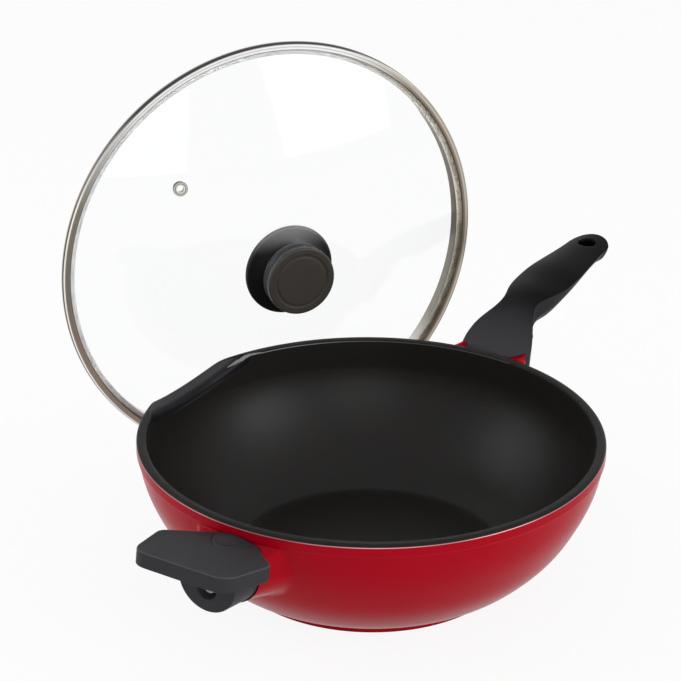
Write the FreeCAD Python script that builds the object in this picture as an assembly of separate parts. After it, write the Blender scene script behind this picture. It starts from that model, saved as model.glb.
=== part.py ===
import FreeCAD, Part
import math
import os
from FreeCAD import Vector, Placement, Rotation

# Stovetop wok pan with a loose glass lid, in millimetres.
# Origin: centre of the underside. +X runs along the long handle, +Z is up.
# The lid is a separate thing: it stands on its edge beside the pan and leans on the rim.

# ---------------------------------------------------------------- driving dimensions
# cast pan
rim_radius = 150.0          # outer edge of the lip
rim_height = 94.4           # top of the lip above the table
rim_width = 6.6             # lip, outer edge to inner edge
lip_drop = 1.1              # the lip's outer edge lies this far below its top
lip_crest = 2.64            # outer edge to the highest line
lip_round = 0.8             # a point on the rounding: this far in from the edge
lip_round_drop = 0.33       # and this far below the top
lip_inner_drop = 0.44
band_height = 7.0           # raised band under the lip
band_step = 0.7             # how far the band stands out of the wall
base_radius = 90.7          # foot ring
foot_height = 4.0
foot_chamfer = 0.6
wall_thickness = 3.4
straight_height = 25.0      # nearly upright part of the inside, below the lip
floor_thickness = 7.0       # table to cooking surface

# steel disc let into the underside
disc_radius = 72.0
disc_thickness = 1.6
disc_hole_radius = 2.6
disc_hole_rings = (0.306, 0.556, 0.806)   # shares of the disc's radius
disc_hole_pitch = 17.5      # along each ring

# pouring scoop cut into the lip
scoop_angle = 91.0          # degrees round from the long handle
scoop_radius = 85.0         # of the cone at the top of the lip
scoop_dip = 5.0             # the lip's outer edge sinks this far at the middle
scoop_slope = 54.0          # degrees from level
scoop_depth = 24.0          # of the cone below the top of the lip
scoop_above = 6.0

# cast lugs that carry the handles, from the seat inwards to the root
lug_length = 10.0           # rim to the handle's seat
lug_root_depth = 35.0
lug_root_half = 42.0
lug_root_top = 90.5
lug_root_shoulder = 64.0    # the sides are straight down to here
lug_root_bottom = 39.5
lug_tip_half = 19.4
lug_tip_shoulder = 70.0
lug_tip_bottom = 53.4
long_lug_top = 90.0         # at the seat of the long handle
side_lug_top = 82.0         # and of the side handle
tongue_half = 12.0
tongue_height = 18.0
tongue_length = 11.0
tongue_level = 66.0         # height of the tongue and the screw above the table
tongue_fillet = 2.0

# screws, the same on both handles
screw_radius = 2.5
screw_head_radius = 4.6
screw_head_height = 2.8
screw_slot_radius = 2.3
screw_grip = 14.0           # length in the lug
screw_end_gap = 0.5         # left free beyond the screw's end
washer_radius = 5.2
washer_thickness = 1.2
screw_recess_radius = 6.8
thread_clearance = 0.05     # thread to its hole, and the screw's shank in the knob
hole_clearance = 0.25
seat_clearance = 0.3        # moulded sockets round the cast tongue
cut_past = 1.0              # cutters run this far past what they cut

# side handle
side_plate_thickness = 9.6
side_plate_level = 86.8     # top of the plate at the rim
side_plate_rise = 8.8       # degrees
side_rim_gap = 1.6          # plate to lip
side_neck_half = 14.0
side_wing_half = 40.6
side_wing_reach = 21.8      # rim to the widest place
side_tip_half = 33.6
side_reach = 59.0           # rim to the outer edge
side_corner_radius = 11.0
side_wing_radius = 5.0
side_barrel_radius = 20.4    # at its end face
side_barrel_root = 23.5      # where it meets the pan
side_barrel_level = 71.2
side_barrel_reach = 31.0    # rim to the barrel's end face
side_barrel_fillet = 1.8
side_hump = 2.6             # the housing stands this far through the plate at the rim
side_hump_radius = 38.0
side_web = 3.4              # plastic between tongue and screw head
side_edge_fillet = 1.1

# long handle: half-width and height of the top edge, crown, belly and underside by reach
handle_reach = 157.4        # rim to the tip
tip_radius = 15.0
hood_web = 3.4
hood_recess_reach = 62.0
hang_hole_radius = 6.2
hang_hole_from_tip = 16.2

# lid
lid_overhang = 1.2          # lid's edge past the lip
band_metal = 0.6
flange_width = 5.4
band_bulge = 1.4            # how far the rolled edge stands out at mid-height
glass_thickness = 4.0
glass_edge_gap = 0.3
dome_rise = 27.8
dome_start = 9.5            # flat border of the glass
border_slope = 1.5          # the border steps down under the band over this width
skirt_height = 8.0
skirt_clearance = 1.0       # skirt to the pan's mouth
lid_lean = 0.9              # degrees, its top towards the pan
lid_angle = 57.1            # degrees round from the long handle
lid_offset = 4.5            # the lid stands this far to the long handle's side
lid_rest_gap = 0.35         # glass to lip
lid_table_gap = 0.4
vent_hole_radius = 3.6
vent_flange_radius = 4.9
vent_radius = 97.2          # from the lid's centre
vent_angle = 48.3           # degrees from the lid's top, anticlockwise seen from the knob
vent_metal = 0.5
vent_fit = 0.1              # eyelet to the glass
vent_roll = 0.35            # the upper flange's rolled edge stands this much higher
vent_foot_inset = 0.4       # the lower flange is this much smaller

# knob
knob_flange_radius = 31.6
knob_flange_edge = 2.2
knob_foot_inset = 1.6
knob_foot_rise = 0.5
knob_shoulder_in = 1.2      # flange's edge to the start of the stem's hollow
knob_shoulder_rise = 0.9
knob_sag_in = 3.0           # the hollow lies this far in from a straight line
knob_sag_down = 1.6
knob_waist_radius = 15.0
knob_waist_height = 9.5
knob_lip_radius = 23.4
knob_lip_height = 1.6
knob_lip_rise = 1.2         # waist to the lip's underside
knob_lip_bevel = 0.8
knob_neck_height = 1.0
knob_neck_radius = 22.3
knob_top_radius = 24.0
knob_height = 23.0          # dome's top to the knob's top
knob_edge_radius = 1.5
knob_ring_radius = 18.1
knob_ring_width = 1.1
knob_ring_depth = 0.6
knob_glass_gap = 0.3
insert_radius = 4.2
insert_length = 15.0
insert_end = 1.5            # its closed end
knob_screw_radius = 2.4
knob_screw_length = 12.0    # above the glass
knob_head_radius = 4.4
knob_head_height = 2.6
glass_hole_radius = 4.0
knob_washer_radius = 9.0
knob_washer_thickness = 1.0
seal_radius = 10.0
seal_thickness = 1.4
seal_gap = 0.2              # curved glass to the flat seal


# long handle, one row per cross-section: distance, then half-width and height of the top edge,
# crown above it, half-width and height of the belly, height of the underside
hood_rows = (               # distance from the rim
    (5.5, 25.8, 87.0, 5.0, 25.3, 75.0, 52.0),
    (13.0, 26.0, 94.5, 5.0, 25.0, 79.0, 52.5),
    (22.5, 22.0, 104.0, 4.0, 20.0, 87.5, 60.0),
    (34.3, 15.8, 111.3, 3.0, 14.8, 100.0, 82.0),
    (40.0, 13.4, 114.8, 2.5, 14.5, 105.5, 93.0),
)
grip_rows = (               # share of the way from the last row above to the tip
    (0.111, 15.5, 118.0, 3.0, 17.0, 109.5, 99.2),
    (0.284, 19.7, 118.8, 4.0, 17.8, 111.5, 102.0),
    (0.46, 20.0, 120.6, 4.5, 17.4, 115.2, 106.2),
    (0.622, 18.0, 122.0, 4.0, 15.8, 118.0, 110.2),
    (0.813, 15.6, 123.6, 3.4, 14.2, 120.3, 113.6),
    (1.026, 15.2, 125.0, 3.0, 14.0, 122.0, 116.4),
)
hood_tongue_radius = 34.0   # front edge of the hood between its two cheeks
hood_cheek_half = 23.5
hood_tongue_reach = 3.0     # rim to the middle of that edge
hood_notch_past_seat = 2.0


# ---------------------------------------------------------------- shared helpers
def revolve(edges):
    """Solid of revolution about Z from closed edges in the XZ plane."""
    face = Part.Face(Part.Wire(edges))
    return face.revolve(Vector(0, 0, 0), Vector(0, 0, 1), 360)


def chain(points):
    """Straight edges from point to point, given as (radius, height)."""
    spots = [Vector(r, 0, z) for r, z in points]
    return [Part.makeLine(a, b) for a, b in zip(spots, spots[1:])]


def turned(points):
    """Solid of revolution from a closed chain of (radius, height) corners."""
    return revolve(chain(list(points) + [points[0]]))


def arc(first, middle, last):
    return Part.Arc(first, middle, last).toShape()


def along_x(radius, start, end, level):
    """Cylinder on an axis along X at a given height."""
    return Part.makeCylinder(radius, end - start, Vector(start, 0, level), Vector(1, 0, 0))


def box(x0, x1, half, z0, z1):
    return Part.makeBox(x1 - x0, 2 * half, z1 - z0, Vector(x0, -half, z0))


def about_z(shape, degrees):
    turned_shape = shape.copy()
    turned_shape.rotate(Vector(0, 0, 0), Vector(0, 0, 1), degrees)
    return turned_shape


def save(name, shape):
    shape = shape.removeSplitter()
    print(name, "solids", len(shape.Solids), "valid", shape.isValid(), "volume", round(shape.Volume))
    shape.exportStep("parts/" + name + ".step")


os.makedirs("parts", exist_ok=True)
seat = rim_radius + lug_length
lip_edge = rim_height - lip_drop
band_foot = lip_edge - band_height
lid_radius = rim_radius + lid_overhang


# ---------------------------------------------------------------- pan
def outer_wall():
    """Curve of the outside of the wall, from the foot ring to the band under the lip."""
    top_radius = rim_radius - band_step
    spread, climb = top_radius - base_radius, band_foot - foot_height
    knots = ((0.0, 0.0), (0.25, 0.095), (0.47, 0.23), (0.665, 0.395), (0.805, 0.57), (0.93, 0.78), (1.0, 1.0))
    curve = Part.BSplineCurve()
    curve.interpolate([Vector(base_radius + a * spread, 0, foot_height + b * climb) for a, b in knots])
    return curve


def inner_wall(outer):
    """The outer curve moved in by the wall, level at the floor and upright at the top."""
    top = lip_edge - straight_height
    first, last = outer.FirstParameter, outer.LastParameter
    points = [Vector(base_radius - wall_thickness, 0, floor_thickness)]
    for step in range(1, 7):
        at = first + (last - first) * step / 8
        spot, along = outer.value(at), outer.tangent(at)[0]
        inside = spot + Vector(-along.z, 0, along.x) * wall_thickness
        if inside.z < top - wall_thickness:
            points.append(inside)
    points.append(Vector(rim_radius - band_step - 2 * wall_thickness, 0, top))
    curve = Part.BSplineCurve()
    curve.interpolate(Points=points, InitialTangent=Vector(1, 0, 0.15), FinalTangent=Vector(0.04, 0, 1))
    return curve


def pan_outside():
    """The pan as if it were full, up to the rounded lip."""
    wall = outer_wall()
    start, end = wall.value(wall.FirstParameter), wall.value(wall.LastParameter)
    crest = Vector(rim_radius - lip_crest, 0, rim_height)
    lip_in = Vector(rim_radius - rim_width, 0, rim_height - lip_inner_drop)
    edges = chain(((0, 0), (base_radius - foot_chamfer, 0), (base_radius, foot_chamfer), (start.x, start.z)))
    edges.append(wall.toShape())
    edges += chain(((end.x, end.z), (rim_radius, band_foot + band_step), (rim_radius, lip_edge)))
    corner = Vector(rim_radius - lip_round, 0, rim_height - lip_round_drop)
    edges.append(arc(Vector(rim_radius, 0, lip_edge), corner, crest))
    edges += chain(((crest.x, crest.z), (lip_in.x, lip_in.z), (0, lip_in.z), (0, 0)))
    return revolve(edges)


def pan_inside():
    """The hollow of the pan, open at the top."""
    wall = inner_wall(outer_wall())
    start, end = wall.value(wall.FirstParameter), wall.value(wall.LastParameter)
    above = rim_height + rim_width
    mouth = rim_radius - rim_width
    edges = chain(((0, floor_thickness), (start.x, start.z)))
    edges.append(wall.toShape())
    edges += chain(((end.x, end.z), (mouth, rim_height - lip_drop), (mouth, above), (0, above),
                    (0, floor_thickness)))
    return revolve(edges)


def lug_section(reach, half, top, shoulder, bottom, gap):
    """Flat top, straight shoulders and a round belly, on a plane across X."""
    side, high, low = half + gap, top + gap, bottom - gap
    a, b = Vector(reach, side, high), Vector(reach, -side, high)
    c, d = Vector(reach, -side, shoulder), Vector(reach, side, shoulder)
    belly = arc(c, Vector(reach, 0, low), d)
    return Part.Wire([Part.makeLine(a, b), Part.makeLine(b, c), belly, Part.makeLine(d, a)])


def lug_body(tip_top, gap=0.0):
    """The cast lug from its root inside the pan to the seat, wider by the gap."""
    root_reach = seat - lug_root_depth
    root = lug_section(root_reach, lug_root_half, lug_root_top, lug_root_shoulder, lug_root_bottom, gap)
    tip = lug_section(seat, lug_tip_half, tip_top, lug_tip_shoulder, lug_tip_bottom, gap)
    return Part.makeLoft([root, tip], True, True)


def tongue(gap=0.0):
    """Block on the lug's end that goes into the handle's socket."""
    half, tall = tongue_half + gap, tongue_height / 2 + gap
    block = box(seat - cut_past, seat + tongue_length, half, tongue_level - tall, tongue_level + tall)
    lengthwise = [e for e in block.Edges if abs(e.tangentAt(e.FirstParameter).x) > 0.9]
    return block.makeFillet(tongue_fillet, lengthwise)


def scoop_cutter():
    """Upright cone whose wall cuts the lip into a pouring scoop."""
    run = 1 / math.tan(math.radians(scoop_slope))
    centre = rim_radius + (rim_height - lip_edge + scoop_dip) * run - scoop_radius
    low, high = scoop_radius - scoop_depth * run, scoop_radius + scoop_above * run
    cone = Part.makeCone(low, high, scoop_depth + scoop_above, Vector(centre, 0, rim_height - scoop_depth))
    return about_z(cone, scoop_angle)


def wok_body():
    body = pan_outside()
    screw_hole = along_x(screw_radius + thread_clearance, seat + tongue_length - screw_grip,
                         seat + tongue_length + cut_past, tongue_level)
    for top, turn in ((long_lug_top, 0), (side_lug_top, 180)):
        lug = lug_body(top).fuse(tongue()).cut(screw_hole)
        body = body.fuse(about_z(lug, turn))
    body = body.cut([pan_inside(), scoop_cutter()])
    recess = Part.makeCylinder(disc_radius + hole_clearance, disc_thickness)
    return body.cut(recess)


def base_disc():
    """Steel disc with rings of holes that lock it into the casting."""
    disc = Part.makeCylinder(disc_radius, disc_thickness)
    holes = []
    for share in disc_hole_rings:
        ring_radius = share * disc_radius
        count = round(2 * math.pi * ring_radius / disc_hole_pitch)
        for step in range(count):
            angle = 2 * math.pi * step / count
            spot = Vector(ring_radius * math.cos(angle), ring_radius * math.sin(angle), 0)
            holes.append(Part.makeCylinder(disc_hole_radius, disc_thickness, spot))
    return disc.cut(holes)


# ---------------------------------------------------------------- screws of the two handles
def screw(shank_radius, length, head_radius, head_height, slot_radius):
    """Round-headed screw along +X, its head's underside at the origin."""
    shank = Part.makeCylinder(shank_radius, length, Vector(0, 0, 0), Vector(-1, 0, 0))
    head = Part.makeCylinder(head_radius, head_height, Vector(0, 0, 0), Vector(1, 0, 0))
    outer = [e for e in head.Edges if abs(e.CenterOfMass.x - head_height) < 1e-6 and e.Closed]
    head = head.makeFillet(head_height * 0.45, outer[:1])
    across = 0.36 * slot_radius
    socket = [Part.makeBox(head_height, 2 * a, 2 * b, Vector(0.45 * head_height, -a, -b))
              for a, b in ((across, slot_radius), (slot_radius, across))]
    return shank.fuse(head).cut(socket)


def spring_washer():
    """Split ring under the screw's head."""
    ring = Part.makeCylinder(washer_radius, washer_thickness, Vector(0, 0, 0), Vector(1, 0, 0))
    bore = Part.makeCylinder(screw_radius + hole_clearance, washer_thickness, Vector(0, 0, 0), Vector(1, 0, 0))
    split = Part.makeBox(washer_thickness, 1.0, washer_radius, Vector(0, -0.5, 0))
    return ring.cut([bore, split])


def fitted(shape, reach):
    """Moves a piece from the origin to the screw's line on the long handle's side."""
    placed = shape.copy()
    placed.translate(Vector(reach, 0, tongue_level))
    return placed


def handle_screw(web):
    length = washer_thickness + web + screw_grip - screw_end_gap
    return screw(screw_radius, length, screw_head_radius, screw_head_height, screw_slot_radius)


def socket_cutter(lug_top, web, recess_end):
    """What both handles leave open: the lug, its tongue, the screw's hole and its recess."""
    floor = seat + tongue_length + web
    hole = along_x(screw_radius + hole_clearance, seat, floor + cut_past, tongue_level)
    recess = along_x(screw_recess_radius, floor, recess_end, tongue_level)
    return [lug_body(lug_top, seat_clearance), tongue(seat_clearance), hole, recess]


# ---------------------------------------------------------------- side handle, built on +X and turned round
def side_plate():
    """Hammerhead plate that rises outwards."""
    x0, x1 = rim_radius + side_rim_gap, rim_radius + side_reach
    wing = rim_radius + side_wing_reach
    corners = ((x0, side_neck_half), (wing, side_wing_half), (x1, side_tip_half))
    points = [Vector(x, y, 0) for x, y in corners] + [Vector(x, -y, 0) for x, y in reversed(corners)]
    outline = Part.makePolygon(points + [points[0]])
    plate = Part.Face(outline).extrude(Vector(0, 0, side_plate_thickness))

    def upright(x, y):
        return [e for e in plate.Edges if abs(e.tangentAt(e.FirstParameter).z) > 0.9
                and abs(e.CenterOfMass.x - x) < 0.1 and abs(abs(e.CenterOfMass.y) - y) < 0.1]

    plate = plate.makeFillet(side_corner_radius, upright(x1, side_tip_half))
    plate = plate.makeFillet(side_wing_radius, upright(wing, side_wing_half))
    rims = [e for e in plate.Edges if abs(e.tangentAt(e.FirstParameter).z) < 0.1]
    plate = plate.makeFillet(side_edge_fillet, rims)
    plate.translate(Vector(0, 0, side_plate_level - side_plate_thickness))
    plate.rotate(Vector(x0, 0, side_plate_level), Vector(0, 1, 0), -side_plate_rise)
    return plate


def side_barrel():
    """Round housing round the tongue, under and just through the plate."""
    start, end = rim_radius + side_rim_gap, rim_radius + side_barrel_reach
    barrel = Part.makeCone(side_barrel_root, side_barrel_radius, end - start,
                           Vector(start, 0, side_barrel_level), Vector(1, 0, 0))
    outer = [e for e in barrel.Edges if abs(e.CenterOfMass.x - end) < 1e-6]
    barrel = barrel.makeFillet(side_barrel_fillet, outer)
    crown = along_x(side_hump_radius, start, end, side_plate_level + side_hump - side_hump_radius)
    barrel = barrel.common(crown)
    below = side_plate_level - side_plate_thickness
    return barrel.cut(box(start, seat, 2 * side_barrel_root, 0, below))


def side_handle():
    handle = side_plate().fuse(side_barrel())
    end = rim_radius + side_barrel_reach
    handle = handle.cut(socket_cutter(side_lug_top, side_web, end + cut_past))
    return max(handle.Solids, key=lambda solid: solid.Volume)


# ---------------------------------------------------------------- long handle
def through(points):
    """Smooth curve through points, with the same even knots on every section."""
    curve = Part.BSplineCurve()
    last = len(points) - 1
    curve.interpolate(Points=points, Parameters=[step / last for step in range(last + 1)])
    return curve.toShape()


def handle_section(x, row):
    """Cross-section on a plane across X: crowned top, sharp edge, belly and underside."""
    half, edge, crown, belly_half, belly, under = row
    top = [Vector(x, side * half, edge + crown * (1 - side * side)) for side in (1, 0.5, 0, -0.5, -1)]
    low = under + 0.16 * (belly - under)
    below = [(-half, edge), (-belly_half, belly), (-0.68 * belly_half, low), (0, under),
             (0.68 * belly_half, low), (belly_half, belly), (half, edge)]
    return Part.Wire([through(top), through([Vector(x, y, z) for y, z in below])])


def handle_plan():
    """Upright prism that rounds the tip."""
    low, high = 0.0, 2 * rim_height
    tip = rim_radius + handle_reach
    wide = 2 * hood_cheek_half
    straight = Part.makeBox(tip - tip_radius - rim_radius, 2 * wide, high, Vector(rim_radius, -wide, low))
    end = Part.makeCylinder(tip_radius, high, Vector(tip - tip_radius, 0, low))
    return straight.fuse(end)


def long_handle():
    tip = rim_radius + handle_reach
    sections = [handle_section(rim_radius + row[0], row[1:]) for row in hood_rows]
    hood_end = rim_radius + hood_rows[-1][0]
    sections += [handle_section(hood_end + row[0] * (tip - hood_end), row[1:]) for row in grip_rows]
    grip = Part.makeLoft(sections, True, False, False, 3)
    grip = grip.common(handle_plan())
    tongue_front = rim_radius + hood_tongue_reach
    notch = box(rim_radius, seat + hood_notch_past_seat, hood_cheek_half, long_lug_top, 2 * rim_height)
    keep = Part.makeCylinder(hood_tongue_radius, 2 * rim_height, Vector(tongue_front + hood_tongue_radius, 0, 0))
    grip = grip.cut(notch.cut(keep))
    recess_end = rim_radius + hood_recess_reach
    grip = grip.cut(socket_cutter(long_lug_top, hood_web, recess_end))
    grip = grip.cut(Part.makeCylinder(hang_hole_radius, 2 * rim_height, Vector(tip - hang_hole_from_tip, 0, 0)))
    return max(grip.Solids, key=lambda solid: solid.Volume)


# ---------------------------------------------------------------- lid, built flat about its own axis
# The lid's own frame: its border's top face at height 0, the knob above it.
def dome_radius():
    reach = lid_radius - dome_start
    return (reach * reach + dome_rise * dome_rise) / (2 * dome_rise)


def dome_height(radius):
    """Height of the dome's outer face at a distance from the lid's axis."""
    ball = dome_radius()
    return dome_rise - ball + math.sqrt(ball * ball - radius * radius)


def lid_glass():
    edge = lid_radius - band_bulge - band_metal - glass_edge_gap
    start = lid_radius - dome_start
    top, under = -band_metal, -band_metal - glass_thickness
    ball = dome_radius()
    lower = ball - glass_thickness
    rise = Vector(0, 0, dome_rise)
    inner_start = math.sqrt(lower * lower - (ball - dome_rise + under) ** 2)
    over = arc(Vector(start, 0, 0), Vector(start / 2, 0, dome_height(start / 2)), rise)
    mid = inner_start / 2
    mid_height = dome_rise - ball + math.sqrt(lower * lower - mid * mid)
    beneath = arc(Vector(0, 0, dome_rise - glass_thickness), Vector(mid, 0, mid_height),
                  Vector(inner_start, 0, under))
    edges = chain(((edge, under), (edge, top), (start + border_slope, top), (start, 0)))
    edges += [over] + chain(((0, dome_rise), (0, dome_rise - glass_thickness))) + [beneath]
    edges += chain(((inner_start, under), (edge, under)))
    glass = revolve(edges)
    hole = Part.makeCylinder(glass_hole_radius, 3 * dome_rise, Vector(0, 0, -dome_rise))
    drill = Part.makeCylinder(vent_hole_radius, 4 * glass_thickness, Vector(0, 0, -2 * glass_thickness))
    return glass.cut([hole, on_dome(drill)])


def on_dome(shape):
    """Puts a piece that stands on the origin onto the dome at the steam vent."""
    tilt = math.degrees(math.asin(vent_radius / dome_radius()))
    placed = shape.copy()
    placed.rotate(Vector(0, 0, 0), Vector(0, 1, 0), tilt)
    placed.translate(Vector(vent_radius, 0, dome_height(vent_radius)))
    return about_z(placed, vent_angle)


def lid_rim_band():
    """Steel channel rolled round the glass, with a skirt that drops into the pan."""
    out, m = lid_radius, band_metal
    under = -2 * m - glass_thickness
    flange = out - flange_width
    skirt = rim_radius - rim_width - skirt_clearance
    low = under - skirt_height
    bulge = out - band_bulge
    middle = under / 2
    edges = chain(((flange, 0), (bulge, 0)))
    edges.append(arc(Vector(bulge, 0, 0), Vector(out, 0, middle), Vector(bulge, 0, under)))
    edges += chain(((bulge, under), (skirt, under), (skirt, low), (skirt - m, low), (skirt - m, under + m),
                    (bulge - m, under + m)))
    edges.append(arc(Vector(bulge - m, 0, under + m), Vector(out - m, 0, middle), Vector(bulge - m, 0, -m)))
    edges += chain(((bulge - m, -m), (flange, -m), (flange, 0)))
    return revolve(edges)


def vent_eyelet():
    """Rivet-like tube with a rolled flange on each face of the glass."""
    hole, flange, m = vent_hole_radius - vent_fit, vent_flange_radius, vent_metal
    foot, foot_top = flange - vent_foot_inset, -glass_thickness - vent_fit
    up, down = m + vent_roll, foot_top - m
    roll = 0.5 * m
    ring = turned(((hole - m, up - roll), (hole - m + roll, up), (flange - roll, up), (flange, up - roll),
                   (flange, up - m - vent_fit), (hole, vent_fit), (hole, foot_top), (foot, foot_top),
                   (foot, down), (hole - m, down)))
    return on_dome(ring)


def knob():
    """Turned knob: flange, hollow-sided stem, lip and a disc with an engraved ring."""
    base = dome_rise + knob_glass_gap
    top = dome_rise + knob_height
    under = knob_flange_radius - knob_foot_inset
    edge_low = dome_height(under) + knob_glass_gap
    edge_high = edge_low + knob_flange_edge
    waist = Vector(knob_waist_radius, 0, dome_rise + knob_waist_height)
    shoulder = Vector(knob_flange_radius - knob_shoulder_in, 0, edge_high + knob_shoulder_rise)
    halfway = (waist + shoulder) * 0.5
    sag = halfway - Vector(knob_sag_in, 0, knob_sag_down)
    lip_low = waist.z + knob_lip_rise
    lip_high = lip_low + knob_lip_height
    rim = knob_top_radius - knob_edge_radius
    middle = Vector(under / 2, 0, dome_height(under / 2) + knob_glass_gap)
    edges = [arc(Vector(0, 0, base), middle, Vector(under, 0, edge_low))]
    edges += chain(((under, edge_low), (knob_flange_radius, edge_low + knob_foot_rise),
                    (knob_flange_radius, edge_high), (shoulder.x, shoulder.z)))
    edges.append(arc(shoulder, sag, waist))
    neck_low = lip_high + knob_lip_bevel
    edges += chain(((waist.x, waist.z), (knob_lip_radius - knob_lip_bevel, lip_low),
                    (knob_lip_radius, lip_low + knob_lip_bevel), (knob_lip_radius, lip_high),
                    (knob_neck_radius, neck_low), (knob_neck_radius, neck_low + knob_neck_height),
                    (knob_top_radius, top - knob_edge_radius)))
    bend = knob_edge_radius * math.sqrt(0.5)
    edges.append(arc(Vector(knob_top_radius, 0, top - knob_edge_radius),
                     Vector(rim + bend, 0, top - knob_edge_radius + bend), Vector(rim, 0, top)))
    edges += chain(((rim, top), (0, top), (0, base)))
    body = revolve(edges)
    ring_low = top - knob_ring_depth
    ring_out, ring_in = knob_ring_radius + knob_ring_width / 2, knob_ring_radius - knob_ring_width / 2
    ring = Part.makeCylinder(ring_out, knob_height, Vector(0, 0, ring_low))
    ring = ring.cut(Part.makeCylinder(ring_in, knob_height, Vector(0, 0, ring_low)))
    bore = Part.makeCylinder(insert_radius, insert_length + knob_glass_gap, Vector(0, 0, dome_rise))
    return body.cut([ring, bore])


def knob_insert():
    """Threaded brass bush moulded into the knob."""
    base = dome_rise + knob_glass_gap
    bush = Part.makeCylinder(insert_radius, insert_length, Vector(0, 0, base))
    return bush.cut(Part.makeCylinder(knob_screw_radius + thread_clearance, insert_length - insert_end,
                                      Vector(0, 0, base)))


def knob_seal():
    under = dome_rise - glass_thickness - seal_gap
    ring = Part.makeCylinder(seal_radius, seal_thickness, Vector(0, 0, under - seal_thickness))
    return ring.cut(Part.makeCylinder(knob_screw_radius + hole_clearance, 3 * seal_thickness,
                                      Vector(0, 0, under - 2 * seal_thickness)))


def knob_washer():
    high = dome_rise - glass_thickness - seal_gap - seal_thickness
    ring = Part.makeCylinder(knob_washer_radius, knob_washer_thickness,
                             Vector(0, 0, high - knob_washer_thickness))
    return ring.cut(Part.makeCylinder(knob_screw_radius + hole_clearance, 3 * knob_washer_thickness,
                                      Vector(0, 0, high - 2 * knob_washer_thickness)))


def knob_screw():
    seat_height = dome_rise - glass_thickness - seal_gap - seal_thickness - knob_washer_thickness
    length = dome_rise + knob_screw_length - seat_height
    bolt = screw(knob_screw_radius, length, knob_head_radius, knob_head_height, 0.5 * knob_head_radius)
    bolt.rotate(Vector(0, 0, 0), Vector(0, 1, 0), 90)
    bolt.translate(Vector(0, 0, seat_height))
    return bolt


def standing(shape):
    """Stands a lid piece on its edge behind the pan, leaning on the lip."""
    lean = math.radians(lid_lean)
    placed = shape.copy()
    # turn the lid's axis level, pointing at the pan, then tip its top towards the pan
    placed.rotate(Vector(0, 0, 0), Vector(0, 1, 0), -90 - lid_lean)
    low = lid_table_gap + lid_radius * math.cos(lean)
    # the dome leans on the lip's outer edge where it passes it
    drop = (low - lip_edge) / math.cos(lean)
    out = rim_radius + lid_rest_gap + dome_height(drop) * math.cos(lean) - drop * math.sin(lean)
    placed.translate(Vector(out, -lid_offset, low))
    return about_z(placed, lid_angle)


def main():
    save("wok_body", wok_body())
    save("base_disc", base_disc())
    side = 180
    save("long_handle", long_handle())
    save("side_handle", about_z(side_handle(), side))
    for name, web, angle in (("long_handle", hood_web, 0), ("side_handle", side_web, side)):
        floor = seat + tongue_length + web
        save(name + "_washer", about_z(fitted(spring_washer(), floor), angle))
        save(name + "_screw", about_z(fitted(handle_screw(web), floor + washer_thickness), angle))
    lid = {"lid_glass": lid_glass(), "lid_rim_band": lid_rim_band(), "vent_eyelet": vent_eyelet(),
           "knob": knob(), "knob_insert": knob_insert(), "knob_seal": knob_seal(),
           "knob_washer": knob_washer(), "knob_screw": knob_screw()}
    for name, shape in lid.items():
        save(name, standing(shape))


main()
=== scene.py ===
import math

import bmesh
import bpy
import numpy as np
from mathutils import Matrix, Vector


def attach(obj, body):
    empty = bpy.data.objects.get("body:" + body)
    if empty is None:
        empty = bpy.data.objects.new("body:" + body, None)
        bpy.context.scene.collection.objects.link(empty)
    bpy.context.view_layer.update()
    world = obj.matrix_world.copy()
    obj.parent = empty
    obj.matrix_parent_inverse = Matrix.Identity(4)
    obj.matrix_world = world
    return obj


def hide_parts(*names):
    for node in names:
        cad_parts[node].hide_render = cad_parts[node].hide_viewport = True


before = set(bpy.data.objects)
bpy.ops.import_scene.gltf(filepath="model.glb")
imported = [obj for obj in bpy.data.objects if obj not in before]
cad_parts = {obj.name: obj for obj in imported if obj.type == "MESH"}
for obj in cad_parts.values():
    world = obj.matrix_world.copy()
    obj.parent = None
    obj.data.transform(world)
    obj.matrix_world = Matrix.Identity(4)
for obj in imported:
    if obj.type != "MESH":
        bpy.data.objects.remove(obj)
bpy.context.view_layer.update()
mm = 0.001  # every length below is in millimetres
print("frame loaded")


# Natural cubic spline: the second slopes come from one linear system, and each span is then a cubic.
def naturalSpline(knots, values):
    knots, values = np.asarray(knots, float), np.asarray(values, float)
    step = np.diff(knots)
    slope = np.diff(values, axis=0) / step[:, None]
    system = np.diag(2 * (step[:-1] + step[1:])) + np.diag(step[1:-1], 1) + np.diag(step[1:-1], -1)
    bend = np.zeros_like(values)
    bend[1:-1] = np.linalg.solve(system, 6 * np.diff(slope, axis=0))

    def at(x):
        x = np.asarray(x, float)
        span = np.clip(np.searchsorted(knots, x) - 1, 0, len(step) - 1)
        wide = step[span][..., None]
        b = (x[..., None] - knots[span][..., None]) / wide
        a = 1 - b
        curve = ((a ** 3 - a) * bend[span] + (b ** 3 - b) * bend[span + 1]) * wide ** 2 / 6
        return a * values[span] + b * values[span + 1] + curve

    return at


# Distance along a path of points, from its start to each of them.
def lengthAlong(points):
    return np.concatenate([[0], np.linalg.norm(np.diff(points, axis=0), axis=1).cumsum()])


# Smooth line through points, spaced evenly by the straight distance between them.
def throughPoints(points, count):
    points = np.asarray(points, float)
    along = lengthAlong(points)
    return naturalSpline(along, points)(np.linspace(0, along[-1], count))


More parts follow.
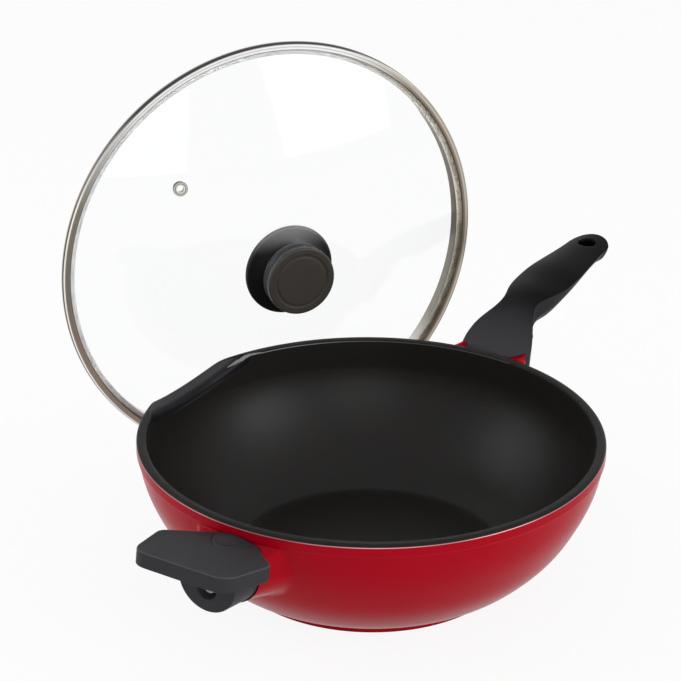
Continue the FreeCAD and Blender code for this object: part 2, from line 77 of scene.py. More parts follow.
# Polyline with its corners rounded: each corner becomes a parabola between two points set back from it.
# Before the last two axes there may be one for rows, each a path of its own.
def roundedPath(corners, radii, steps=6):
    corners = np.asarray(corners, float)
    parts = [corners[..., :1, :]]
    for i in range(1, corners.shape[-2] - 1):
        here = corners[..., i:i + 1, :]
        back, ahead = corners[..., i - 1:i, :] - here, corners[..., i + 1:i + 2, :] - here
        backLength = np.linalg.norm(back, axis=-1, keepdims=True)
        aheadLength = np.linalg.norm(ahead, axis=-1, keepdims=True)
        cut = np.minimum(radii[i], 0.49 * np.minimum(backLength, aheadLength))
        t = np.linspace(0, 1, steps if radii[i] > 0 else 1)[:, None]
        start, end = here + back / (backLength + 1e-9) * cut, here + ahead / (aheadLength + 1e-9) * cut
        parts.append((1 - t) ** 2 * start + 2 * t * (1 - t) * here + t ** 2 * end)
    parts.append(corners[..., -1:, :])
    return np.concatenate(parts, axis=-2)


# Each span of a path cut into pieces no longer than the step.
def subdivided(path, step):
    parts = [path[:1]]
    for a, b in zip(path[:-1], path[1:]):
        count = max(1, int(math.ceil(np.linalg.norm(b - a) / step)))
        parts.append(a + (b - a) * np.linspace(0, 1, count + 1)[1:, None])
    return np.concatenate(parts)


def smoothStep(x, low, high):
    t = np.clip((x - low) / (high - low), 0, 1)
    return t * t * (3 - 2 * t)


# The lower of two heights, with a soft change over between them.
def softLower(a, b, width):
    h = np.clip(0.5 + 0.5 * (b - a) / width, 0, 1)
    return b * (1 - h) + a * h - width * h * (1 - h)


# The higher of two values, with the same soft change over.
def softHigher(a, b, width):
    return -softLower(-a, -b, width)


# How far a rounded edge of that radius falls at a distance in from the edge.
def edgeFall(distance, radius):
    inside = np.clip(radius - distance, 0, radius)
    return radius - np.sqrt(radius ** 2 - inside ** 2)


# Points turned about an axis through the origin, Y or Z, by an angle in radians.
def turnedAbout(grid, axis, angle):
    x, y, z = grid[..., 0], grid[..., 1], grid[..., 2]
    c, s = math.cos(angle), math.sin(angle)
    if axis == "Y":
        return np.stack([x * c + z * s, y, z * c - x * s], -1)
    return np.stack([x * c - y * s, x * s + y * c, z], -1)


# Points of (radius, height) carried round Z: rows go round, columns along the profile.
def turned(profile, count=360):
    profile = np.asarray(profile, float)
    angle = np.linspace(0, 2 * math.pi, count, endpoint=False)[:, None]
    radius, height = profile[:, 0][None, :], profile[:, 1][None, :]
    return np.stack([radius * np.cos(angle), radius * np.sin(angle), height + 0 * angle], -1)


# A patch is a grid of points, whether its rows close into a ring, and a finish number for each face.
def addPiece(name, patches, materials, body, nodes):
    points, quads, numbers, maps = [], [], [], []
    start = 0
    for grid, ring, number in patches:
        rows, cols = grid.shape[:2]
        index = np.arange(rows * cols).reshape(rows, cols) + start
        across = lengthAlong(grid[0])
        across /= max(across[-1], 1e-6)
        if ring:
            index = np.vstack([index, index[:1]])
        u, v = np.meshgrid(np.linspace(0, 1, len(index)), across, indexing="ij")
        uv = np.stack([u, v], -1)
        corners = [slice(None, -1), slice(1, None)]
        order = ((0, 0), (1, 0), (1, 1), (0, 1))
        quads.append(np.stack([index[corners[i], corners[j]] for i, j in order], -1).reshape(-1, 4))
        maps.append(np.stack([uv[corners[i], corners[j]] for i, j in order], -2).reshape(-1, 2))
        numbers.append(np.broadcast_to(number, (len(index) - 1, cols - 1)).ravel())
        points.append(grid.reshape(-1, 3) * mm)
        start += rows * cols
    points, quads = np.concatenate(points), np.concatenate(quads)
    mesh = bpy.data.meshes.new(name)
    mesh.vertices.add(len(points))
    mesh.vertices.foreach_set("co", points.ravel())
    mesh.loops.add(quads.size)
    mesh.loops.foreach_set("vertex_index", quads.ravel().astype(np.int32))
    mesh.polygons.add(len(quads))
    mesh.polygons.foreach_set("loop_start", np.arange(0, quads.size, 4, dtype=np.int32))
    mesh.polygons.foreach_set("material_index", np.concatenate(numbers).astype(np.int32))
    mesh.update(calc_edges=True)
    mesh.uv_layers.new(name="surfaceMap").data.foreach_set("uv", np.concatenate(maps).ravel())
    for material in materials:
        mesh.materials.append(material)
    # seams and poles are welded, then the faces are turned outwards
    work = bmesh.new()
    work.from_mesh(mesh)
    bmesh.ops.remove_doubles(work, verts=work.verts, dist=0.004 * mm)
    bmesh.ops.dissolve_degenerate(work, edges=work.edges, dist=0.002 * mm)
    bmesh.ops.recalc_face_normals(work, faces=work.faces)
    work.to_mesh(mesh)
    work.free()
    mesh.polygons.foreach_set("use_smooth", np.ones(len(mesh.polygons), bool))
    piece = bpy.data.objects.new(name, mesh)
    bpy.context.scene.collection.objects.link(piece)
    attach(piece, body)
    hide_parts(*nodes)
    print(name, len(mesh.polygons), "faces")
    return piece


# Shared grain: a fine height for the bump, and broad patches for colour and roughness.
def makeGrainGroup():
    group = bpy.data.node_groups.new("fineGrain", "ShaderNodeTree")
    for name, way, kind in (("Vector", "INPUT", "Vector"), ("Fine Scale", "INPUT", "Float"),
                            ("Patch Scale", "INPUT", "Float"), ("Height", "OUTPUT", "Float"),
                            ("Patches", "OUTPUT", "Float")):
        group.interface.new_socket(name, in_out=way, socket_type="NodeSocket" + kind)
    nodes, links = group.nodes, group.links
    into, out = nodes.new("NodeGroupInput"), nodes.new("NodeGroupOutput")
    fine, patch = nodes.new("ShaderNodeTexNoise"), nodes.new("ShaderNodeTexNoise")
    fine.inputs["Detail"].default_value = 3
    patch.inputs["Detail"].default_value = 2
    for noise, scale, result in ((fine, "Fine Scale", "Height"), (patch, "Patch Scale", "Patches")):
        links.new(into.outputs["Vector"], noise.inputs["Vector"])
        links.new(into.outputs[scale], noise.inputs["Scale"])
        links.new(noise.outputs["Fac"], out.inputs[result])
    return group


grainGroup = makeGrainGroup()


# Kinds of surface: scale of the fine grain, scale of the patches, strength of the bump and its depth.
grains = {
    "lacquer": (900, 25, 0.1, 0.04), "coating": (1400, 30, 0.2, 0.04), "roughCoating": (1400, 30, 0.3, 0.06),
    "cast": (600, 20, 0.2, 0.05), "grip": (2200, 40, 0.25, 0.05), "helper": (2200, 40, 0.3, 0.05),
    "knob": (2200, 40, 0.15, 0.04), "polish": (900, 60, 0.1, 0.02), "lathe": (500, 30, 0.15, 0.03),
    "rubber": (1500, 60, 0.2, 0.04), "bandLines": (1, 0.25, 0.12, 0.03),
}
metal = {"Metallic": 1.0}


def gloss(level):
    return {"Specular IOR Level": level}


# Finishes: kind of surface, two near colours, span of roughness, other sockets.
looks = {
    "redLacquer": ("lacquer", (0.34, 0.0015, 0.01), (0.315, 0.0012, 0.009), (0.22, 0.3), gloss(0.05)),
    # painted glint on the lacquer's upper outer edge
    "paintedEdgeGlint": ("polish", (0.55, 0.24, 0.26), (0.42, 0.15, 0.17), (0.25, 0.35), metal),
    # painted highlight along the lip's inner edge, which climbs the scoop
    "paintedRimHighlight": ("polish", (0.27, 0.275, 0.28), (0.2, 0.205, 0.21), (0.4, 0.5), gloss(0.1)),
    "darkCoating": ("roughCoating", (0.0095, 0.0085, 0.008), (0.012, 0.0105, 0.0095), (0.34, 0.42),
                    gloss(0.18)),
    "lipCoating": ("coating", (0.014, 0.013, 0.0125), (0.017, 0.016, 0.0155), (0.34, 0.42), gloss(0.05)),
    # the scoop's coating with a painted sheen, fading to painted shade on its lower half
    "scoopSheenShade": ("coating", (0.034, 0.035, 0.0375), (0.046, 0.047, 0.05), (0.3, 0.38), gloss(0.1)),
    "castUnderside": ("cast", (0.42, 0.42, 0.42), (0.36, 0.36, 0.36), (0.4, 0.5), metal),
    # the grip's plastic, with a painted sheen on the hood
    "gripTopSheen": ("grip", (0.0036, 0.0034, 0.0037), (0.0045, 0.0042, 0.0047), (0.36, 0.44), gloss(0.03)),
    # lit copy of the grip's plastic as painted light, fading to painted shade along the grip
    "gripSideLightShade": ("grip", (0.022, 0.021, 0.023), (0.025, 0.024, 0.026), (0.36, 0.44), gloss(0.03)),
    # painted shade for a dark crease on the grip's edge
    "gripCreaseShade": ("grip", (0.0015, 0.0015, 0.0015), (0.002, 0.002, 0.002), (0.5, 0.6), gloss(0.01)),
    "helperTop": ("helper", (0.018, 0.0172, 0.0195), (0.0215, 0.0205, 0.0235), (0.42, 0.52), gloss(0.08)),
    # lit copy of the side handle's plastic, painted light
    "helperSideLit": ("helper", (0.028, 0.027, 0.03), (0.032, 0.031, 0.0345), (0.42, 0.52), gloss(0.08)),
    # painted highlight on the side handle's top edge
    "helperEdgeHighlight": ("helper", (0.07, 0.069, 0.074), (0.055, 0.054, 0.058), (0.42, 0.52), gloss(0.08)),
    "knobFace": ("knob", (0.037, 0.031, 0.026), (0.044, 0.037, 0.032), (0.3, 0.38), gloss(0.25)),
    # the knob's side with a painted sheen
    "knobSideSheen": ("knob", (0.036, 0.038, 0.043), (0.044, 0.046, 0.052), (0.26, 0.34), gloss(0.25)),
    # the knob's stem darkened with painted shade, with a painted sheen on the flange
    "knobStemShadeSheen": ("knob", (0.009, 0.0088, 0.009), (0.012, 0.0117, 0.0122), (0.24, 0.32), gloss(0.25)),
    "plainSteel": ("polish", (0.62, 0.61, 0.6), (0.55, 0.54, 0.53), (0.24, 0.32), metal),
    # steel darkened with painted shade, for screws and washers in recesses
    "recessShadeSteel": ("polish", (0.3, 0.3, 0.3), (0.2, 0.2, 0.2), (0.28, 0.38), metal),
    "turnedSteel": ("lathe", (0.6, 0.6, 0.6), (0.5, 0.5, 0.5), (0.28, 0.36), metal),
    "brass": ("polish", (0.7, 0.46, 0.16), (0.6, 0.4, 0.14), (0.25, 0.35), metal),
    "greyRubber": ("rubber", (0.09, 0.09, 0.09), (0.12, 0.12, 0.12), (0.6, 0.7), {}),
}
# the lid's steel, whose colour comes from painted reflections and shade
paintedLightLooks = {
    "eyelet": ("polish", (0.62, 0.61, 0.6), (0.55, 0.54, 0.53), (0.24, 0.32), metal),
    "channel": ("polish", (0.9, 0.9, 0.89), (0.85, 0.85, 0.84), (0.55, 0.65), metal),
    "band": ("bandLines", (0.62, 0.61, 0.6), (0.55, 0.54, 0.53), (0.25, 0.35), {"Metallic": 0.5}),
}


# The two colours and the roughness change over the patches, and the fine grain drives the bump.
def makeFinish(name, look, coordinate="Object", stretch=(1, 1, 1)):
    kind, firstColour, otherColour, roughness, sockets = look
    fineScale, patchScale, strength, depth = grains[kind]
    material = bpy.data.materials.new(name)
    material.use_nodes = True
    nodes, links = material.node_tree.nodes, material.node_tree.links
    shader = nodes["Principled BSDF"]
    place = nodes.new("ShaderNodeTexCoord")
    mapping = nodes.new("ShaderNodeMapping")
    mapping.inputs["Scale"].default_value = stretch
    grain = nodes.new("ShaderNodeGroup")
    grain.node_tree = grainGroup
    grain.inputs["Fine Scale"].default_value = fineScale
    grain.inputs["Patch Scale"].default_value = patchScale
    colour = nodes.new("ShaderNodeMix")
    colour.data_type = "RGBA"
    colour.inputs["A"].default_value = (*firstColour, 1)
    colour.inputs["B"].default_value = (*otherColour, 1)
    rough = nodes.new("ShaderNodeMapRange")
    rough.inputs["To Min"].default_value, rough.inputs["To Max"].default_value = roughness
    bump = nodes.new("ShaderNodeBump")
    bump.inputs["Strength"].default_value = strength
    bump.inputs["Distance"].default_value = depth * mm
    links.new(place.outputs[coordinate], mapping.inputs["Vector"])
    links.new(mapping.outputs["Vector"], grain.inputs["Vector"])
    links.new(grain.outputs["Patches"], colour.inputs["Factor"])
    links.new(grain.outputs["Patches"], rough.inputs["Value"])
    links.new(grain.outputs["Height"], bump.inputs["Height"])
    links.new(colour.outputs["Result"], shader.inputs["Base Color"])
    links.new(rough.outputs["Result"], shader.inputs["Roughness"])
    links.new(bump.outputs["Normal"], shader.inputs["Normal"])
    for socket, value in sockets.items():
        shader.inputs[socket].default_value = value
    return material


# A coordinate of the finish's own, from the object or from its UV map.
def addCoordinate(material, coordinate, axis):
    nodes, links = material.node_tree.nodes, material.node_tree.links
    place, split = nodes.new("ShaderNodeTexCoord"), nodes.new("ShaderNodeSeparateXYZ")
    links.new(place.outputs[coordinate], split.inputs["Vector"])
    return split.outputs[axis]


# Mixes a finish towards a tint over a span of a coordinate.
def fadeAlong(material, axis, span, tint, coordinate="Object", unit=mm):
    nodes, links = material.node_tree.nodes, material.node_tree.links
    fade, mix = nodes.new("ShaderNodeMapRange"), nodes.new("ShaderNodeMix")
    fade.interpolation_type = "SMOOTHSTEP"
    for socket, value in zip(("From Min", "From Max"), span):
        fade.inputs[socket].default_value = value * unit
    mix.data_type = "RGBA"
    mix.inputs["B"].default_value = (*tint, 1)
    colour = nodes["Principled BSDF"].inputs["Base Color"]
    links.new(addCoordinate(material, coordinate, axis), fade.inputs["Value"])
    links.new(fade.outputs["Result"], mix.inputs["Factor"])
    links.new(colour.links[0].from_socket, mix.inputs["A"])
    links.new(mix.outputs["Result"], colour)
    return material


# Colour ramp over one coordinate of the UV map: Y runs along the profile, X round the turn.
def addTintRamp(material, tints, length, axis="Y"):
    ramp = material.node_tree.nodes.new("ShaderNodeValToRGB")
    points = ramp.color_ramp.elements
    while len(points) < len(tints):
        points.new(1.0)
    for point, (distance, tint) in zip(points, tints):
        point.position = distance / length
        point.color = (*tint, 1)
    material.node_tree.links.new(addCoordinate(material, "UV", axis), ramp.inputs["Fac"])
    return ramp.outputs["Color"]


def paint(material, colour):
    material.node_tree.links.new(colour, material.node_tree.nodes["Principled BSDF"].inputs["Base Color"])
    return material


# The surface of a material or world changes from one shader to another by a share.
def mixSurfaces(tree, share, first, second, output):
    mix = tree.nodes.new("ShaderNodeMixShader")
    for socket, source in zip(mix.inputs, (share, first, second)):
        tree.links.new(source, socket)
    tree.links.new(mix.outputs["Shader"], tree.nodes[output].inputs["Surface"])


finishes = {name: makeFinish(name, look) for name, look in looks.items()}


glass = {"colour": (0.985, 0.995, 0.99, 1), "index": 1.5, "tint": (0.25, 0.25, 0.25, 1), "smearScale": 14.0,
         "smearRoughness": 0.03, "shadeColour": (0.93, 0.94, 0.94, 1)}


# Clear glass with faint smears. Light passes through to the floor instead of leaving a dark disc there.
def makeGlass():
    material = bpy.data.materials.new("clearGlass")
    material.use_nodes = True
    tree = material.node_tree
    shader, place = tree.nodes["Principled BSDF"], tree.nodes.new("ShaderNodeTexCoord")
    smears, rough = tree.nodes.new("ShaderNodeTexNoise"), tree.nodes.new("ShaderNodeMapRange")
    smears.inputs["Scale"].default_value = glass["smearScale"]
    rough.inputs["To Max"].default_value = glass["smearRoughness"]
    tree.links.new(place.outputs["Object"], smears.inputs["Vector"])
    tree.links.new(smears.outputs["Fac"], rough.inputs["Value"])
    tree.links.new(rough.outputs["Result"], shader.inputs["Roughness"])
    for socket, value in (("Base Color", glass["colour"]), ("Transmission Weight", 1.0),
                          ("IOR", glass["index"]), ("Specular IOR Level", 0.1),
                          ("Specular Tint", glass["tint"])):
        shader.inputs[socket].default_value = value
    clear, path = tree.nodes.new("ShaderNodeBsdfTransparent"), tree.nodes.new("ShaderNodeLightPath")
    clear.inputs["Color"].default_value = glass["shadeColour"]
    mixSurfaces(tree, path.outputs["Is Shadow Ray"], shader.outputs["BSDF"], clear.outputs["BSDF"],
                "Material Output")
    return material


finishes["clearGlass"] = makeGlass()
# screws and washers sit in recesses, so their steel is darkened with painted shade
cadFinishes = {
    "base_disc": "turnedSteel", "long_handle_washer": "recessShadeSteel", "long_handle_screw": "recessShadeSteel",
    "side_handle_washer": "recessShadeSteel", "side_handle_screw": "recessShadeSteel", "knob_insert": "brass",
    "knob_seal": "greyRubber", "knob_washer": "plainSteel", "knob_screw": "plainSteel",
}
for node, finishName in cadFinishes.items():
    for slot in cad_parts[node].material_slots:
        slot.material = finishes[finishName]
print("finishes made")


pan = {
    "rimRadius": 150.0, "rimHeight": 94.4, "rimWidth": 6.6, "lipDrop": 1.1, "lipCrest": 2.64,
    "lipInnerDrop": 0.44, "bandHeight": 7.0, "bandStep": 0.7, "baseRadius": 90.7, "footHeight": 4.0,
    "footRound": 0.9, "floorThickness": 7.0, "recessRadius": 72.25, "recessDepth": 1.6, "outerRound": 1.1,
    "innerRound": 1.2, "uprightHeight": 20.0,
    # outside wall from foot to band, as fractions of the way out and up
    "wallOut": (0.0, 0.25, 0.47, 0.665, 0.805, 0.93, 1.0),
    "wallUp": (0.0, 0.095, 0.23, 0.395, 0.57, 0.78, 1.0),
    # inside wall from floor to mouth
    "innerWall": ((87.3, 7.0), (103.9, 15.0), (120.2, 30.0), (134.0, 50.0), (141.4, 69.0), (143.4, 93.3)),
    # rows round Z, in degrees: from, to and step, fine at the scoop and over the lugs
    "rowSpans": ((-28, 28, 0.7), (28, 65, 1.5), (65, 117, 0.4), (117, 152, 1.5), (152, 208, 0.7),
                 (208, 332, 1.5)),
    # the inner edge carries a painted highlight from an angle on; over a turn that line climbs the scoop by
    # some columns, and its width is counted in columns too
    "brightFrom": -9.0, "streakTurn": (62.0, 75.0), "streakClimb": 8.0, "streakWide": 2.2, "streakEdge": 0.6,
    # distance along X over which that painted highlight fades towards the long handle, and the tint of the
    # scoop's painted shade
    "highlightFade": (70.0, 135.0), "highlightFadeTint": (0.07, 0.07, 0.07), "scoopShadeTint": (0.007, 0.007, 0.0085),
    # heights of the band's columns, as shares of its upright side
    "bandShares": (0.15, 0.3, 0.42, 0.5, 0.55, 0.58, 0.61, 0.64, 0.68, 0.84),
}
scoop = {"angle": 91.0, "radius": 85.0, "dip": 5.0, "slope": 54.0, "blend": 0.7, "finishDepth": 0.4}
lug = {"length": 10.0, "rootDepth": 35.0, "rootTop": 90.5, "rootShoulder": 64.0, "rootBottom": 39.5,
       "tipShoulder": 70.0, "edgeRound": 3.0, "fillet": 2.5,
       "long": {"turn": 0.0, "rootHalf": 58.0, "tipHalf": 22.0, "tipTop": 90.0, "tipBottom": 53.4},
       "side": {"turn": 180.0, "rootHalf": 42.0, "tipHalf": 22.5, "tipTop": 82.0, "tipBottom": 49.0}}


# Height of the lip's surface: a gentle crown over its width, cut by the scoop's upright cone, edges rounded.
def lipHeight(radius, offAngle):
    edge, top = pan["rimRadius"], pan["rimHeight"]
    crest = edge - pan["lipCrest"]
    toEdge = np.clip((radius - crest) / pan["lipCrest"], 0, 1)
    toMouth = np.clip((crest - radius) / (pan["rimWidth"] - pan["lipCrest"]), 0, 1)
    crown = top - pan["lipDrop"] * toEdge ** 2 - pan["lipInnerDrop"] * toMouth ** 2
    slope = math.tan(math.radians(scoop["slope"]))
    centre = edge + (pan["lipDrop"] + scoop["dip"]) / slope - scoop["radius"]
    away = np.sqrt(radius ** 2 + centre ** 2 - 2 * radius * centre * np.cos(offAngle))
    cut = top + (away - scoop["radius"]) * slope
    surface = softLower(crown, cut, scoop["blend"])
    mouth = edge - pan["rimWidth"]
    return surface - edgeFall(radius - mouth, pan["innerRound"]) - edgeFall(edge - radius, pan["outerRound"])


# How far out a lug reaches at an angle off its axis and a height: the last of its cross-sections, counted
# from the root to the seat, that is still wide enough there. A section has a flat top, upright sides and an
# arc below.
def lugReach(offAngle, height, end):
    t = np.linspace(-0.6, 1, 97)  # the rulings run on inside the wall

    def ruled(root, tip):
        return root + (tip - root) * t

    seat = pan["rimRadius"] + lug["length"]
    x, half = ruled(seat - lug["rootDepth"], seat), ruled(end["rootHalf"], end["tipHalf"])
    shoulder = ruled(lug["rootShoulder"], lug["tipShoulder"])
    sag = shoulder - ruled(lug["rootBottom"], end["tipBottom"])
    ball = (half ** 2 + sag ** 2) / (2 * sag)
    below = (shoulder - height[..., None]).clip(0)
    width = np.sqrt((ball ** 2 - (below + ball - sag) ** 2).clip(0)) - (below - sag).clip(0)
    away = offAngle.clip(0, 0.7)[..., None]
    top = ruled(lug["rootTop"], end["tipTop"])
    room = softLower(width - x * np.tan(away), top - height[..., None], lug["edgeRound"])
    count = (room >= 0).sum(-1)
    last = count.clip(1, len(t) - 1)[..., None]
    here, beyond = np.take_along_axis(room, last - 1, -1)[..., 0], np.take_along_axis(room, last, -1)[..., 0]
    share = (here / (here - beyond)).clip(0, 1)
    reach = x[0] + (x[1] - x[0]) * (last[..., 0] - 1 + share)
    return np.where(count > 0, reach / np.cos(away[..., 0]), 0)


panFinishes = ("redLacquer", "darkCoating", "castUnderside", "paintedEdgeGlint", "lipCoating", "paintedRimHighlight",
               "scoopSheenShade")


# Profile carried round Z: underside, foot, wall and band, pushed out by the two lugs with a soft fillet, then
# the lip, which dips at the scoop, and the inside.
def panBody():
    edge = pan["rimRadius"]
    bandFoot = pan["rimHeight"] - pan["lipDrop"] - pan["bandHeight"]
    wallTop = edge - pan["bandStep"]
    base = pan["baseRadius"]
    out = base + np.array(pan["wallOut"]) * (wallTop - base)
    up = pan["footHeight"] + np.array(pan["wallUp"]) * (bandFoot - pan["footHeight"])
    wall = throughPoints(np.stack([out, up], -1), 66)
    recess, depth = pan["recessRadius"], pan["recessDepth"]
    under = roundedPath([(0, depth), (recess, depth), (recess, 0), (base, 0), (base, pan["footHeight"])],
                        [0, 0, 0.3, pan["footRound"], 0])
    step = roundedPath([wall[-2], wall[-1], (edge, bandFoot + pan["bandStep"]), (edge, bandFoot + 1.0)],
                       [0, 0.35, 0.3, 0])[1:]
    fixed = np.concatenate([subdivided(under, 8.0), wall[1:-1], step])
    angle = np.radians(np.concatenate([np.arange(*span) for span in pan["rowSpans"]]))
    off = angle - math.radians(scoop["angle"])
    lipT = 0.5 - 0.5 * np.cos(np.linspace(0, math.pi, 28))
    lipRadius = edge - pan["rimWidth"] * lipT
    lip = lipHeight(lipRadius[None, :], off[:, None])
    bandZ = fixed[-1, 1] + np.array(pan["bandShares"])[None, :] * (lip[:, :1] - fixed[-1, 1])
    inner = throughPoints(pan["innerWall"][::-1], 70)
    low = inner[inner[:, 1] < pan["rimHeight"] - pan["uprightHeight"]]
    mouth = edge - pan["rimWidth"]
    drop = np.linspace(0, 1, 7)[1:]
    mouthZ = lip[:, -1:] + drop[None, :] * (low[0, 1] - lip[:, -1:])
    mouthRadius = np.interp(mouthZ, (low[0, 1], pan["rimHeight"]), (low[0, 0], mouth))
    floor = np.stack([np.linspace(low[-1, 0], 0, 13)[1:], np.full(12, pan["floorThickness"])], -1)
    inside = np.concatenate([low[1:], floor])
    count = len(angle)
    outR = np.concatenate([np.tile(fixed[:, 0], (count, 1)), np.full(bandZ.shape, edge)], 1)
    outZ = np.concatenate([np.minimum(fixed[:, 1], lip[:, :1] - 0.02), bandZ], 1)
    for end in (lug["long"], lug["side"]):
        reach = lugReach(np.abs(angle - math.radians(end["turn"]))[:, None] + 0 * outZ, outZ, end)
        outR = softHigher(outR, reach, lug["fillet"])
    insideR, insideZ = (np.tile(inside[:, i], (count, 1)) for i in range(2))
    radius = np.concatenate([outR, np.tile(lipRadius, (count, 1)), mouthRadius, insideR], 1)
    height = np.concatenate([outZ, lip, mouthZ, insideZ], 1)
    grid = np.stack([radius * np.cos(angle)[:, None], radius * np.sin(angle)[:, None], height], -1)
    lacquer, coating, underside, edgeGlint, lipTop, rimHighlight, scoopSheenFace = range(len(panFinishes))
    finish = np.full((count, grid.shape[1] - 1), coating)
    lipStart, lipEnd = outR.shape[1], outR.shape[1] + len(lipRadius) - 1
    finish[:, :lipStart] = lacquer
    finish[:, lipStart:lipEnd] = lipTop
    # the scoop's face takes the coating with a painted sheen
    uncut = lipHeight(lipRadius, math.pi)
    finish[:, lipStart:lipEnd + 1][(lip < uncut - scoop["finishDepth"])] = scoopSheenFace
    # the lacquer's upper outer edge takes a painted glint, a thin pink line
    finish[:, lipStart + 1:lipStart + 3] = edgeGlint
    # the painted highlight keeps to the inner edge, then climbs the scoop, widens and tapers off
    start, end = pan["streakTurn"]
    share = ((np.degrees(angle) - start) / (end - start)).clip(0, 1)
    middle = lipEnd - 2.5 - pan["streakClimb"] * share
    half = pan["streakEdge"] * (1 - share) + pan["streakWide"] * np.sin(math.pi * share)
    away = np.abs(np.arange(finish.shape[1])[None, :] - middle[:, None])
    highlighted = (np.degrees(angle) > pan["brightFrom"]) & (share < 1)
    finish[(away < half[:, None]) & highlighted[:, None]] = rimHighlight
    underCount = int((fixed[:, 1] < 0.4).sum() + (fixed[:, 0] < recess).sum())
    finish[:, :underCount - 2] = underside
    # where the scoop's painted sheen fades into painted shade, as shares of the profile's length
    along = lengthAlong(grid[0])
    return (grid, True, finish), along[[lipStart + 12, lipStart + 17]] / along[-1]


grip = {
    "reach": 157.4, "tipRadius": 15.0, "holeRadius": 6.2, "holeFromTip": 16.2, "holeRound": 1.0,
    "farNotchStart": 20.5, "farNotchSlope": 2.0, "farDip": 0.25,
    "saddleReach": (0.5, 11.9), "saddleHalf": (28.7, 23.0), "saddleSunk": 1.3, "saddleBase": 84.0,
    "tongueReach": 3.0, "tongueRadius": 34.0, "cheekHalf": 23.5, "cheekReach": 5.5, "notchPastSeat": 2.0,
    "edgeRound": 0.7, "bellyRound": 1.6, "lowRound": 5.0, "skin": 2.4, "blendReach": 26.0,
    "holeLead": 12.0, "fanLead": 9.0, "lowShare": 0.16, "lowWide": 0.68, "hoodCentre": 70.0,
    # the hood's top takes a painted sheen that the grip's lacks, and under the waist the side takes painted
    # light
    # that fades to painted shade further out: spans from the rim over which the finishes fade, and what they
    # fade to; then the stretch where the edge takes painted shade as a dark crease
    "gripTopSheenReach": (55.0, 2.0), "gripTopSheenTint": (0.05, 0.0485, 0.054), "gripSideLightShadeReach": (62.0, 84.0),
    "gripSideLightShadeTint": (0.0015, 0.0015, 0.0015), "creaseShadeReach": (24.0, 52.0),
    # distance from the rim, then half-width and height of the top edge, crown, half-width and height of the
    # belly, height of the underside
    "hoodRows": ((5.5, 25.8, 87.0, 5.0, 25.3, 75.0, 52.0), (13.0, 26.0, 94.5, 5.0, 25.0, 79.0, 52.5),
                 (22.5, 22.0, 104.0, 4.0, 20.0, 87.5, 60.0), (34.3, 15.8, 111.3, 3.0, 14.8, 100.0, 82.0),
                 (40.0, 13.4, 114.8, 2.5, 14.5, 105.5, 93.0)),
    # the same, with the share of the way from the last row above to the tip
    "gripRows": ((0.111, 15.5, 118.0, 3.0, 17.0, 109.5, 99.2), (0.284, 19.7, 118.8, 4.0, 17.8, 111.5, 102.0),
                 (0.46, 20.0, 120.6, 4.5, 17.4, 115.2, 106.2), (0.622, 18.0, 122.0, 4.0, 15.8, 118.0, 110.2),
                 (0.813, 15.6, 123.6, 3.4, 14.2, 120.3, 113.6),
                 (1.026, 15.2, 125.0, 3.0, 14.0, 122.0, 116.4)),
}


# The rows above as one smooth function of the distance along X.
def gripShape():
    rim = pan["rimRadius"]
    tip = rim + grip["reach"]
    rows = [(rim + row[0],) + row[1:] for row in grip["hoodRows"]]
    hoodEnd = rows[-1][0]
    rows += [(hoodEnd + row[0] * (tip - hoodEnd),) + row[1:] for row in grip["gripRows"]]
    rows = np.array(rows)
    return naturalSpline(rows[:, 0], rows[:, 1:])


# Where the hood's front edge lies at a distance to the side: rounded towards -Y, and flatter with a narrow
# notch towards +Y.
def tongueFront(y):
    dip = grip["tongueRadius"] - np.sqrt((grip["tongueRadius"] ** 2 - y ** 2).clip(0))
    far = grip["farDip"] * dip + grip["farNotchSlope"] * (y - grip["farNotchStart"]).clip(0)
    reach = grip["tongueReach"] + np.where(y > 0, far, dip)
    return pan["rimRadius"] + np.minimum(reach, lug["length"] + grip["notchPastSeat"])


# The lug's raised top: under the hood it lies just below it, and in the notches beside the hood's tongue it
# keeps the height of the tongue's edge. A closed ring runs round each cross-section.
def lugSaddle():
    shape, count = gripShape(), 60
    reach = np.linspace(*grip["saddleReach"], 24)[None, :]
    half = np.interp(reach, grip["saddleReach"], grip["saddleHalf"])
    y = np.linspace(-1, 1, count)[:, None] * half
    x = pan["rimRadius"] + reach + 0 * y
    local = shape(np.maximum(x, tongueFront(y)))
    z = local[..., 1] + local[..., 2] * (1 - (y / local[..., 0]) ** 2) - grip["saddleSunk"]
    z -= edgeFall(half - np.abs(y), 0.8)
    top = np.stack([x, y, z], -1)
    base = top[::-1] * [1, 1, 0] + [0, 0, grip["saddleBase"]]
    ring = np.concatenate([top, base])
    first, last = (np.tile(ring[:, i].mean(0), (len(ring), 1, 1)) for i in (0, -1))
    return np.concatenate([first, ring, last], 1), True, 0


bowl, scoopShadeSpan = panBody()
# the scoop's painted sheen fades into painted shade
fadeAlong(finishes["scoopSheenShade"], "Y", scoopShadeSpan, pan["scoopShadeTint"], "UV", 1)
# the rim's painted highlight fades towards the long handle
fadeAlong(finishes["paintedRimHighlight"], "X", pan["highlightFade"], pan["highlightFadeTint"])
addPiece("wokBowl", [bowl, lugSaddle()], [finishes[name] for name in panFinishes], "pan", ["wok_body"])


